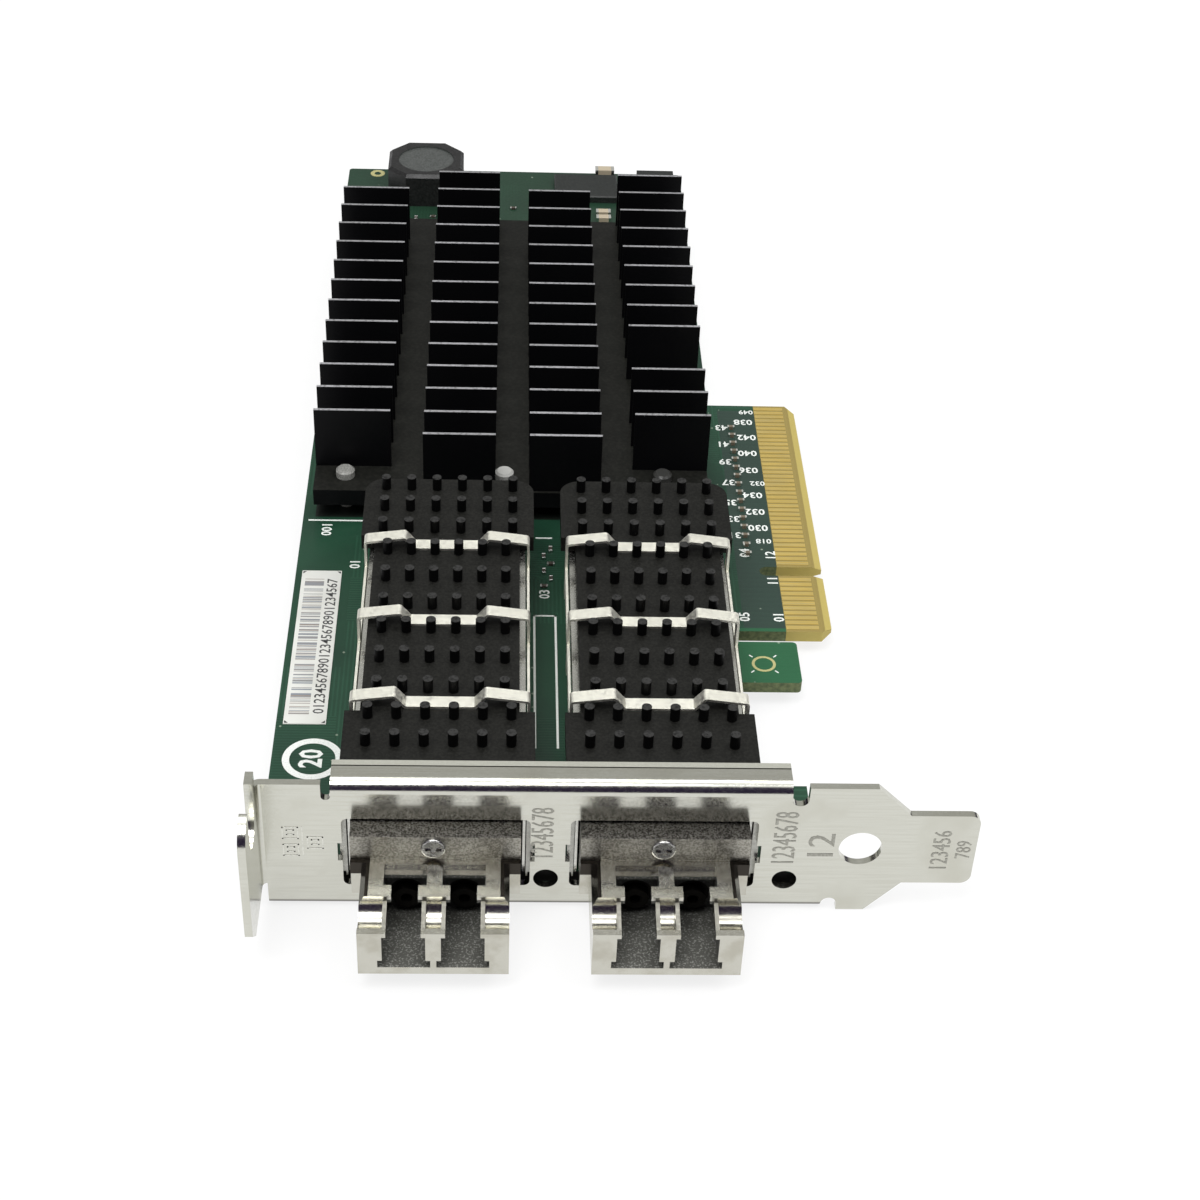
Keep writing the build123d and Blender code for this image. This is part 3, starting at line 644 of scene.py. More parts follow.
@dataclass(frozen=True)
class CastNose(Finish):
    """The nickel-plated casting of a module: smooth nose, rough block and dark ports.

    Above roof_level the casting is the block, and below it the nose. A port is a keyhole: a wide
    foot under a narrower channel, and the channel is covered behind cover_start.
    """

    middle: float
    colour: Colour = (0.56, 0.55, 0.49)
    worn: Colour = (0.47, 0.455, 0.39)
    wear: Ramp = Ramp(0.4, 0.7)
    roof_level: float = 5.88
    block: Colour = (0.24, 0.23, 0.2)
    block_light: Colour = (0.42, 0.405, 0.36)
    shaded_block_top: Colour = (0.06, 0.057, 0.05)
    shaded_block_top_pale: Colour = (0.22, 0.21, 0.19)
    facing_up: float = 0.7
    mottle: Ramp = Ramp(0.38, 0.62)
    # The next four set the painted highlight along the block's rounded top-front edge; the last also
    # scales the crystals' painted glints.
    edge_forward: Ramp = Ramp(-2.0, -2.5)
    edge_upward: Ramp = Ramp(9.45, 10.05)
    edge_glint: Ramp = Ramp(0.42, 0.58)
    block_glint_share: float = 0.8
    # Colour of the painted glints on the crystals, in the ports and along the block's edge.
    glint_colour: Colour = (0.75, 0.75, 0.7)
    crystal_spacing: float = 0.3
    crystal_radius: float = 0.085
    crystal_share: float = 0.2
    crystal_shine: float = 0.3
    shaded_flank: Colour = (0.045, 0.04, 0.034)
    flank_reach: float = 7.02
    flank_low: float = 3.6
    flank_front: float = -8.07
    port: Colour = (0.085, 0.085, 0.075)
    # Painted shade deep inside the ports.
    port_shade: Colour = (0.006, 0.006, 0.006)
    port_shade_ramp: Ramp = Ramp(-5.2, -2.4)
    glints: Ramp = Ramp(0.5, 0.68)
    glint_share: float = 0.28
    mouth: float = -12.18
    foot_half: float = 2.86
    foot_top: float = 0.42
    channel_half: float = 2.33
    channel_top: float = 3.88
    cover_start: float = -8.02
    cover_top: float = 5.3
    grain: float = 0.22
    cloud: float = 3.0
    gloss: tuple[float, float] = (0.16, 0.26)
    block_dullness: float = 0.14
    port_dullness: float = 0.3
    port_dirt: float = 0.5
    relief_by_block: Ramp = Ramp(0.0, 1.0, 0.1, 1.0)
    relief: float = 0.05
    relief_strength: float = 0.6

    def _hole(self, paint: Paint) -> Socket:
        """Finds the ports' inner faces.

        Args:
            paint: The material being made.

        Returns:
            A mask of them.
        """
        graph = paint.graph
        aside = graph.apart(graph.apart(paint.x, self.middle), PORT_PITCH / 2)
        narrow = graph.below(aside, self.channel_half)
        foot = graph.times(graph.below(aside, self.foot_half), graph.below(paint.z, self.foot_top))
        channel = graph.times(narrow, graph.below(paint.z, self.channel_top))
        covered = graph.above(paint.y, self.cover_start)
        covered = graph.times(covered, graph.below(paint.z, self.cover_top))
        hole = graph.larger(graph.larger(foot, channel), graph.times(narrow, covered))
        return graph.times(hole, graph.above(paint.y, self.mouth))

    def _shaded_flank_mask(self, paint: Paint) -> Socket:
        """Finds the slopes along both sides of the nose's roof, which get painted shade.

        Args:
            paint: The material being made.

        Returns:
            A mask of them.
        """
        graph = paint.graph
        outer = graph.above(graph.apart(paint.x, self.middle), self.flank_reach)
        outer = graph.times(outer, graph.above(paint.z, self.flank_low))
        return graph.times(outer, graph.above(paint.y, self.flank_front))

    def _block(self, paint: Paint, grain: Socket, crystals: Socket) -> Socket:
        """Mixes the block's colour: mottled, with painted shade on its top face and a painted highlight
        along its rounded upper front edge.

        Args:
            paint: The material being made.
            grain: The casting's grain.
            crystals: A mask of the crystals that get painted glints.

        Returns:
            The colour's socket.
        """
        graph = paint.graph
        mottle = graph.ease(grain, self.mottle)
        front = graph.mix(mottle, self.block, self.block_light)
        # Painted shade: the block's top face is darker than its front.
        top = graph.mix(mottle, self.shaded_block_top, self.shaded_block_top_pale)
        colour = graph.mix(graph.above(paint.upward, self.facing_up), front, top)
        # Painted highlight along the block's rounded top-front edge, broken up by grain.
        edge = graph.times(graph.ease(paint.y, self.edge_forward), graph.ease(paint.z, self.edge_upward))
        worn = graph.times(edge, graph.ease(grain, self.edge_glint))
        # Painted glints on the casting's crystals.
        worn = graph.larger(worn, graph.times(crystals, self.crystal_shine))
        return graph.mix(graph.times(worn, self.block_glint_share), colour, self.glint_colour)

    def dress(self, paint: Paint) -> None:
        """The block is coarse and dark with painted glints on its crystals, and painted shade turns the
        ports black further in.

        Args:
            paint: The material being made.
        """
        graph = paint.graph
        grain, cloud = paint.noise(self.grain, self.cloud)
        crystals = paint.points(self.crystal_spacing, self.crystal_radius, self.crystal_share)
        block = graph.above(paint.z, self.roof_level)
        hole = self._hole(paint)
        glint = graph.times(graph.ease(grain, self.glints), self.glint_share)
        inner = graph.mix(glint, self.port, self.glint_colour)
        # Painted shade: the ports turn black further in.
        inner = graph.mix(graph.ease(paint.y, self.port_shade_ramp), inner, self.port_shade)
        nose = graph.mix(graph.ease(cloud, self.wear), self.colour, self.worn)
        # Painted shade on the slopes along the roof's sides.
        shaded_flank = graph.times(self._shaded_flank_mask(paint), graph.minus(1.0, block))
        nose = graph.mix(shaded_flank, nose, self.shaded_flank)
        colour = graph.mix(block, nose, self._block(paint, grain, crystals))
        colour = graph.mix(hole, colour, inner)
        gloss = graph.vary(grain, *self.gloss)
        gloss = graph.plus(gloss, graph.times(block, self.block_dullness))
        gloss = graph.plus(gloss, graph.times(hole, self.port_dullness))
        metal = graph.minus(1.0, graph.times(hole, self.port_dirt))
        paint.set(Base_Color=colour, Metallic=metal, Roughness=gloss)
        coarse = graph.times(grain, graph.ease(block, self.relief_by_block))
        bright = graph.times(crystals, graph.times(block, self.crystal_shine))
        paint.bump(graph.plus(coarse, bright), self.relief_strength, self.relief)


@dataclass(frozen=True)
class BlackFins(Finish):
    """Black anodised aluminium whose sheared upper edges show bright metal."""

    black: Colour = (0.0025, 0.0025, 0.003)
    floor: Colour = (0.0075, 0.0078, 0.0066)
    floor_dust: Colour = (0.014, 0.014, 0.012)
    floor_top: float = 4.7
    edge: Colour = (0.7, 0.7, 0.74)
    edge_level: float = 13.45
    facing_up: float = 0.6
    bare: Ramp = Ramp(0.25, 0.55, 0.45, 1.0)
    dust: Ramp = Ramp(0.35, 0.75)
    grain: float = 0.4
    cloud: float = 12.0
    gloss: tuple[float, float] = (0.36, 0.5)
    edge_gloss: float = 0.08
    shine: float = 0.12
    relief: float = 0.02
    relief_strength: float = 0.25

    def dress(self, paint: Paint) -> None:
        """The upper faces of the fins are bare, the plate between them is dull.

        Args:
            paint: The material being made.
        """
        graph = paint.graph
        grain, cloud = paint.noise(self.grain, self.cloud)
        up = graph.above(paint.upward, self.facing_up)
        top = graph.times(up, graph.above(paint.z, self.edge_level))
        flat = graph.times(up, graph.below(paint.z, self.floor_top))
        floor = graph.mix(graph.ease(grain, self.dust), self.floor, self.floor_dust)
        base = graph.mix(flat, self.black, floor)
        colour = graph.mix(graph.times(top, graph.ease(grain, self.bare)), base, self.edge)
        gloss = graph.minus(graph.vary(cloud, *self.gloss), graph.times(top, self.edge_gloss))
        paint.set(Base_Color=colour, Metallic=top, Roughness=gloss, Specular_IOR_Level=self.shine)
        paint.bump(grain, self.relief_strength, self.relief)


@dataclass(frozen=True)
class PinCasting(Finish):
    """Charcoal casting of a pin heat sink, with lighter grey pin tops."""

    plate: Colour = (0.005, 0.005, 0.0042)
    plate_light: Colour = (0.013, 0.013, 0.0112)
    plate_top: float = 11.85
    pin: Colour = (0.0015, 0.0015, 0.0015)
    crown: Colour = (0.03, 0.03, 0.029)
    crown_level: float = 13.55
    mottle: Ramp = Ramp(0.3, 0.75)
    rubbed: Ramp = Ramp(0.3, 0.6, 0.25, 1.0)
    grain: float = 0.3
    cloud: float = 6.0
    gloss: tuple[float, float] = (0.42, 0.6)
    shine: float = 0.15
    relief: float = 0.04
    relief_strength: float = 0.5

    def dress(self, paint: Paint) -> None:
        """The plate is dull and grainy, the pins darker and their tops lighter.

        Args:
            paint: The material being made.
        """
        graph = paint.graph
        grain, cloud = paint.noise(self.grain, self.cloud)
        body = graph.mix(graph.ease(grain, self.mottle), self.plate, self.plate_light)
        body = graph.mix(graph.above(paint.z, self.plate_top), body, self.pin)
        # The pin tops are painted lighter than their sides.
        crown = graph.times(graph.above(paint.z, self.crown_level), graph.ease(grain, self.rubbed))
        body = graph.mix(crown, body, self.crown)
        gloss = graph.vary(cloud, *self.gloss)
        paint.set(Base_Color=body, Roughness=gloss, Specular_IOR_Level=self.shine)
        paint.bump(grain, self.relief_strength, self.relief)


@dataclass(frozen=True)
class SolderMask(Finish):
    """Dark green solder mask over copper lines, with plated holes and cut laminate edges."""

    green: Colour = (0.012, 0.05, 0.027)
    cloudy: Colour = (0.008, 0.03, 0.018)
    clouds: Ramp = Ramp(0.38, 0.7, 0.0, 0.75)
    line: Colour = (0.022, 0.08, 0.046)
    line_share: float = 0.6
    patch_offset: Place = (0.0, 0.0, 50.0)
    patch_scale: Place = (0.14, 0.11, 0.0)
    lines_per_mm: tuple[float, float] = (1.9, 2.1)
    line_widths: tuple[float, float] = (0.42, 0.4)
    share_along_y: float = 0.36
    share_lined: float = 0.6
    fan_offset: float = 0.125
    fan_width: float = 0.34
    tab_start: float = 57.6
    tab: Colour = (0.024, 0.042, 0.034)
    tab_region: Region = Region((57.6, 44.3, -0.3), (80.0, 95.2, 1.0))
    tab_share: float = 0.85
    corner: Colour = (0.018, 0.1, 0.042)
    corner_region: Region = Region((56.6, 25.0, -0.3), (80.0, 45.0, 1.0))
    corner_share: float = 0.9
    far: Colour = (0.012, 0.032, 0.018)
    distance: Ramp = Ramp(138.0, 148.0, 0.0, 0.7)
    hole: Colour = (0.3, 0.36, 0.28)
    hole_spacing: float = 1.7
    hole_radius: float = 0.17
    hole_share: float = 0.35
    hole_tint: float = 0.6
    shaded: Colour = (0.006, 0.005, 0.005)
    shaded_region: Region = Region((1.6, 67.8, -0.3), (54.3, 120.0, 1.0))
    shaded_share: float = 0.9
    shaded_edge: float = 1.7
    laminate: Colour = (0.42, 0.34, 0.1)
    between: Colour = (0.26, 0.2, 0.06)
    bare_region: Region = Region((62.95, 44.3, -3.0), (80.0, 98.2, 1.0))
    contacts_end: float = 68.0
    cut: Colour = (0.2, 0.23, 0.1)
    upright: float = 0.5
    grain: float = 0.5
    cloud: float = 14.0
    gloss: tuple[float, float] = (0.3, 0.42)
    cut_dullness: float = 0.35
    shine: float = 0.3
    relief: float = 0.025
    relief_strength: float = 0.35

    def _copper(self, paint: Paint) -> Socket:
        """Draws copper lines along Y, along X or not at all in each patch, and a fan on the tab.

        Args:
            paint: The material being made.

        Returns:
            A mask of the lines.
        """
        graph = paint.graph
        patch = graph.add("ShaderNodeVectorMath", operation="FLOOR")
        graph.feed(patch.inputs[0], graph.shift(paint.place, self.patch_offset, self.patch_scale))
        pick = graph.add("ShaderNodeTexWhiteNoise", noise_dimensions="3D")
        graph.feed(pick.inputs["Vector"], patch.outputs[0])
        choice = pick.outputs["Value"]
        along_y, along_x = (
            graph.stripes(graph.times(place, count), width)
            for place, count, width in zip((paint.x, paint.y), self.lines_per_mm, self.line_widths)
        )
        first = graph.below(choice, self.share_along_y)
        second = graph.above(choice, self.share_along_y)
        second = graph.times(second, graph.below(choice, self.share_lined))
        lines = graph.plus(graph.times(along_y, first), graph.times(along_x, second))
        fan = graph.stripes(graph.plus(paint.y, self.fan_offset), self.fan_width)
        tab = graph.above(paint.x, self.tab_start)
        return graph.plus(graph.times(fan, tab), graph.times(lines, graph.minus(1.0, tab)))

    def _upper(self, paint: Paint, copper: Socket, holes: Socket, cloud: Socket) -> Socket:
        """Mixes the mask's colour, which has its own tint on the tabs and painted shade under the heat
        sink.

        Args:
            paint: The material being made.
            copper: A mask of the copper lines.
            holes: A mask of the plated holes.
            cloud: Slow clouds.

        Returns:
            The colour's socket.
        """
        graph = paint.graph
        shade = graph.mix(graph.times(copper, self.line_share), self.green, self.line)
        shade = graph.mix(graph.ease(cloud, self.clouds), shade, self.cloudy)
        shade = graph.mix(graph.ease(paint.y, self.distance), shade, self.far)
        for mask, share, colour in (
            (paint.within(self.tab_region), self.tab_share, self.tab),
            (paint.within(self.corner_region), self.corner_share, self.corner),
            (holes, self.hole_tint, self.hole),
            (paint.within(self.shaded_region), self.shaded_share, self.shaded),
        ):
            shade = graph.mix(graph.times(mask, share), shade, colour)
        return shade

    def dress(self, paint: Paint) -> None:
        """Mask, bare laminate round the contacts, and cut edges.

        Args:
            paint: The material being made.
        """
        graph = paint.graph
        copper = self._copper(paint)
        holes = paint.points(self.hole_spacing, self.hole_radius, self.hole_share)
        grain, cloud = paint.noise(self.grain, self.cloud)
        bare = paint.within(self.bare_region)
        yellow = graph.mix(graph.above(paint.x, self.contacts_end), self.between, self.laminate)
        upper = graph.mix(bare, self._upper(paint, copper, holes, cloud), yellow)
        edge = graph.below(graph.math(Operation.SIZE, paint.upward), self.upright)
        fibre = graph.mix(grain, self.cut, self.cloudy)
        fibre = graph.mix(bare, fibre, self.laminate)
        fibre = graph.mix(graph.below(paint.y, self.shaded_edge), fibre, self.shaded)
        gloss = graph.plus(graph.vary(grain, *self.gloss), graph.times(edge, self.cut_dullness))
        colour = graph.mix(edge, upper, fibre)
        paint.set(Base_Color=colour, Roughness=gloss, Specular_IOR_Level=self.shine)
        height = graph.plus(copper, graph.times(holes, self.hole_tint))
        paint.bump(height, self.relief_strength, self.relief)


@dataclass(frozen=True)
class GoldContact(Finish):
    """Soft gold plate rubbed by the slot's springs."""

    colour: Colour = (0.68, 0.5, 0.14)
    worn: Colour = (0.6, 0.48, 0.2)
    metallic: float = 0.7
    grain: float = 0.25
    cloud: float = 4.0
    line_width: float = 0.12
    rub: Ramp = Ramp(0.4, 0.7)
    gloss: tuple[float, float] = (0.3, 0.42)
    relief: float = 0.004
    relief_strength: float = 0.3

    def dress(self, paint: Paint) -> None:
        """Rub marks run in the direction of insertion.

        Args:
            paint: The material being made.
        """
        graph = paint.graph
        cloud = paint.noise(self.grain, self.cloud)[1]
        streaks = paint.streaks(self.line_width)
        colour = graph.mix(graph.ease(streaks, self.rub), self.colour, self.worn)
        paint.set(Base_Color=colour, Metallic=self.metallic, Roughness=graph.vary(cloud, *self.gloss))
        paint.bump(streaks, self.relief_strength, self.relief)


@dataclass(frozen=True)
class Moulded(Finish):
    """Moulded black epoxy, pressed powder or plastic with a fine texture."""

    colour: Colour = (0.02, 0.02, 0.021)
    light: Colour = (0.045, 0.046, 0.046)
    flecks: Ramp = Ramp(0.35, 0.75)
    roughness: float = 0.5
    smoother: float = 0.85
    rougher: float = 1.15
    shine: float = 0.3
    grain: float = 0.25
    cloud: float = 5.0
    relief: float = 0.02
    relief_strength: float = 0.4

    def dress(self, paint: Paint) -> None:
        """Grain lightens the surface slightly and breaks up the gloss.

        Args:
            paint: The material being made.
        """
        graph = paint.graph
        grain, cloud = paint.noise(self.grain, self.cloud)
        colour = graph.mix(graph.ease(grain, self.flecks), self.colour, self.light)
        gloss = graph.vary(cloud, self.roughness * self.smoother, self.roughness * self.rougher)
        paint.set(Base_Color=colour, Roughness=gloss, Specular_IOR_Level=self.shine)
        paint.bump(grain, self.relief_strength, self.relief)


@dataclass(frozen=True)
class PushPin(Finish):
    """Moulded grey push pins with painted light along X: the middle pin nearly white as a painted
    highlight, the far one dark as painted shade.
    """

    grey: Colour = (0.17, 0.17, 0.16)
    grey_light: Colour = (0.3, 0.3, 0.28)
    flecks: Ramp = Ramp(0.35, 0.7)
    # Painted highlight on the middle pin.
    bright: Colour = (0.42, 0.42, 0.4)
    lit_pin_start: float = 25.0
    # Painted shade on the far pin, which stands behind the pins.
    clear: Colour = (0.035, 0.035, 0.033)
    shaded_pin_start: float = 45.0
    grain: float = 0.2
    cloud: float = 3.0
    gloss: tuple[float, float] = (0.28, 0.4)
    shine: float = 0.3
    relief: float = 0.01
    relief_strength: float = 0.3

    def dress(self, paint: Paint) -> None:
        """Fine texture, with the middle pin's painted highlight and the far pin's painted shade chosen by
        place in the row.

        Args:
            paint: The material being made.
        """
        graph = paint.graph
        grain, cloud = paint.noise(self.grain, self.cloud)
        colour = graph.mix(graph.ease(grain, self.flecks), self.grey, self.grey_light)
        for start, tint in ((self.lit_pin_start, self.bright), (self.shaded_pin_start, self.clear)):
            colour = graph.mix(graph.above(paint.x, start), colour, tint)
        gloss = graph.vary(cloud, *self.gloss)
        paint.set(Base_Color=colour, Roughness=gloss, Specular_IOR_Level=self.shine)
        paint.bump(grain, self.relief_strength, self.relief)


@dataclass(frozen=True)
class PowderCore(Finish):
    """The power inductor: dark moulded sides and a lighter round recess on top."""

    middle_x: float = 13.3
    middle_y: float = 161.7
    recess_radius: float = 4.6
    top_level: float = 5.0
    rim: Colour = (0.008, 0.008, 0.008)
    rim_light: Colour = (0.02, 0.02, 0.02)
    disc: Colour = (0.042, 0.046, 0.043)
    disc_light: Colour = (0.078, 0.083, 0.08)
    grain: float = 0.3
    cloud: float = 3.0
    gloss: tuple[float, float] = (0.3, 0.45)
    shine: float = 0.35
    relief: float = 0.03
    relief_strength: float = 0.5

    def dress(self, paint: Paint) -> None:
        """The recess is grey and worn, the rim darker.

        Args:
            paint: The material being made.
        """
        graph = paint.graph
        grain, cloud = paint.noise(self.grain, self.cloud)
        dx = graph.minus(paint.x, self.middle_x)
        dy = graph.minus(paint.y, self.middle_y)
        radius = graph.math(Operation.ROOT, graph.plus(graph.times(dx, dx), graph.times(dy, dy)))
        disc = graph.below(radius, self.recess_radius)
        top = graph.times(disc, graph.above(paint.z, self.top_level))
        fleck = graph.vary(grain, 0.0, 1.0)
        rim = graph.mix(fleck, self.rim, self.rim_light)
        grey = graph.mix(fleck, self.disc, self.disc_light)
        gloss = graph.vary(cloud, *self.gloss)
        paint.set(Base_Color=graph.mix(top, rim, grey), Roughness=gloss, Specular_IOR_Level=self.shine)
        paint.bump(grain, self.relief_strength, self.relief)


@dataclass(frozen=True)
class TinnedCeramic(Finish):
    """Ceramic capacitors with tinned ends.

    Each group is given by where it starts along Y, its middle along X, and half the length
    between its ends.
    """

    groups: tuple[tuple[float, float, float], ...] = (
        (0.0, 59.3, 0.28),
        (148.0, 42.8, 0.8),
        (162.0, 43.4, 1.1),
    )
    ceramic: Colour = (0.11, 0.09, 0.06)
    ceramic_light: Colour = (0.17, 0.14, 0.1)
    large_ceramic: Colour = (0.42, 0.36, 0.26)
    large_start: float = 120.0
    tin: Colour = (0.9, 0.9, 0.86)
    gloss: Ramp = Ramp(0.0, 1.0, 0.4, 0.25)
    grain: float = 0.2
    cloud: float = 1.5
    relief: float = 0.01
    relief_strength: float = 0.3

    def _ends(self, paint: Paint) -> Socket:
        """Finds the tinned ends of each group in turn.

        Args:
            paint: The material being made.

        Returns:
            A mask of the ends.
        """
        graph = paint.graph
        ends = None
        for start, middle, half in self.groups:
            tinned = graph.above(graph.apart(paint.x, middle), half)
            here = graph.above(paint.y, start)
            if ends is None:
                ends = tinned
            else:
                kept = graph.times(ends, graph.minus(1.0, here))
                ends = graph.plus(kept, graph.times(tinned, here))
        return ends

    def dress(self, paint: Paint) -> None:
        """The body is matt, the ends bright, and the larger parts lighter.

        Args:
            paint: The material being made.
        """
        graph = paint.graph
        grain = paint.noise(self.grain, self.cloud)[0]
        ends = self._ends(paint)
        body = graph.mix(grain, self.ceramic, self.ceramic_light)
        body = graph.mix(graph.above(paint.y, self.large_start), body, self.large_ceramic)
        colour = graph.mix(ends, body, self.tin)
        paint.set(Base_Color=colour, Metallic=ends, Roughness=graph.ease(ends, self.gloss))
        paint.bump(grain, self.relief_strength, self.relief)


@dataclass(frozen=True)
class PrintedLabel(Finish):
    """White label with fine bars along most of its width and a black mark in each corner."""

    start_x: float = 0.85
    start_y: float = 25.75
    width: float = 5.1
    length: float = 30.0
    bar: float = 0.12
    dark_bars: float = 0.46
    bar_share: float = 0.58
    bar_strength: float = 0.85
    side_margin: float = 0.5
    end_margin: float = 1.6
    corner: float = 0.75
    corner_inset: tuple[float, float] = (0.12, 0.15)
    white: Colour = (0.63, 0.635, 0.6)
    stain: Colour = (0.56, 0.56, 0.52)
    stains: Ramp = Ramp(0.4, 0.8)
    bar_blue: Colour = (0.12, 0.15, 0.19)
    bar_brown: Colour = (0.2, 0.15, 0.12)
    tints: Ramp = Ramp(0.1, 0.4)
    black: Colour = (0.02, 0.02, 0.02)
    grain: float = 0.3
    cloud: float = 6.0
    gloss: tuple[float, float] = (0.45, 0.6)
    relief: float = 0.01
    relief_strength: float = 0.2

    def _corners(self, paint: Paint) -> Socket:
        """Finds the four small corner marks.

        Args:
            paint: The material being made.

        Returns:
            A mask of them.
        """
        graph = paint.graph
        half_x, half_y = self.width / 2, self.length / 2
        away_x = graph.apart(paint.x, self.start_x + half_x)
        away_y = graph.apart(paint.y, self.start_y + half_y)
        outside = graph.above(graph.plus(away_x, away_y), half_x + half_y - self.corner)
        inner_x = graph.below(away_x, half_x - self.corner_inset[0])
        inner_y = graph.below(away_y, half_y - self.corner_inset[1])
        return graph.times(outside, graph.times(inner_x, inner_y))

    def dress(self, paint: Paint) -> None:
        """Bars of uneven width and tint lie across the label's length.

        Args:
            paint: The material being made.
        """
        graph = paint.graph
        grain, cloud = paint.noise(self.grain, self.cloud)
        noise = graph.add("ShaderNodeTexWhiteNoise", noise_dimensions="1D")
        step = graph.math(Operation.WHOLE, graph.math(Operation.OVER, paint.y, self.bar))
        graph.feed(noise.inputs["W"], step)
        dark = graph.below(noise.outputs["Value"], self.dark_bars)
        tint = graph.mix(graph.ease(noise.outputs["Value"], self.tints), self.bar_blue, self.bar_brown)
        left, near = self.start_x, self.start_y
        low = (left + self.side_margin, near + self.end_margin, -1.0)
        high = (left + self.width * self.bar_share, near + self.length - self.end_margin, 1.0)
        bars = graph.times(dark, paint.within(Region(low, high)))
        colour = graph.mix(graph.ease(cloud, self.stains), self.white, self.stain)
        colour = graph.mix(graph.times(bars, self.bar_strength), colour, tint)
        colour = graph.mix(self._corners(paint), colour, self.black)
        paint.set(Base_Color=colour, Roughness=graph.vary(grain, *self.gloss))
        paint.bump(grain, self.relief_strength, self.relief)


@dataclass(frozen=True)
class PlainInk(Finish):
    """Printed ink or another thin layer of one tint, slightly uneven."""

    colour: Colour = (0.75, 0.77, 0.74)
    thin: Colour = (0.55, 0.6, 0.56)
    thinning: Ramp = Ramp(0.4, 0.8)
    roughness: float = 0.55
    smoother: float = 0.9
    rougher: float = 1.1
    metallic: float = 0.0
    grain: float = 0.18
    cloud: float = 5.0
    relief: float = 0.01
    relief_strength: float = 0.25

    def dress(self, paint: Paint) -> None:
        """The layer thins here and there.

        Args:
            paint: The material being made.
        """
        graph = paint.graph
        grain, cloud = paint.noise(self.grain, self.cloud)
        colour = graph.mix(graph.ease(grain, self.thinning), self.colour, self.thin)
        gloss = graph.vary(cloud, self.roughness * self.smoother, self.roughness * self.rougher)
        paint.set(Base_Color=colour, Metallic=self.metallic, Roughness=gloss)
        paint.bump(grain, self.relief_strength, self.relief)


@dataclass(frozen=True)
class PlainMetal(PlainInk):
    """A thin layer of plain metal, such as solder or a stamped mark."""

    metallic: float = 1.0


def circle(x: float, y: float, radius: float, level: float, steps: int) -> list[Place]:
    """Returns the corners of a level circle."""
    turns = [2 * math.pi * step / steps for step in range(steps)]
    return [(x + radius * math.cos(turn), y + radius * math.sin(turn), level) for turn in turns]


def bridge(mesh: Mesh, first: Sequence[bmesh.types.BMVert], second: Sequence[bmesh.types.BMVert]) -> None:
    """Joins two loops of as many corners by a band of faces.

    Args:
        mesh: The mesh that the faces go into.
        first: One loop's corners.
        second: The other loop's corners.
    """
    for step in range(len(first)):
        after = (step + 1) % len(first)
        mesh.faces.new((first[step], first[after], second[after], second[step]))


@dataclass(frozen=True)
class Digits:
    """How a line of plain digits looks; lengths are in millimetres."""

    size: float
    reading: Reading = Reading.ALONG_BOARD
    thickness: float = 0.015
    bold: float = 0.0
    narrow: float = 1.0


@dataclass(frozen=True)
class Number:
    """One plain number and the middle of its place on a surface."""

    text: str
    first: float
    second: float


@dataclass(frozen=True)
class Ring:
    """A flat ring on the board."""

    middle: tuple[float, float]
    inner: float
    outer: float
    steps: int


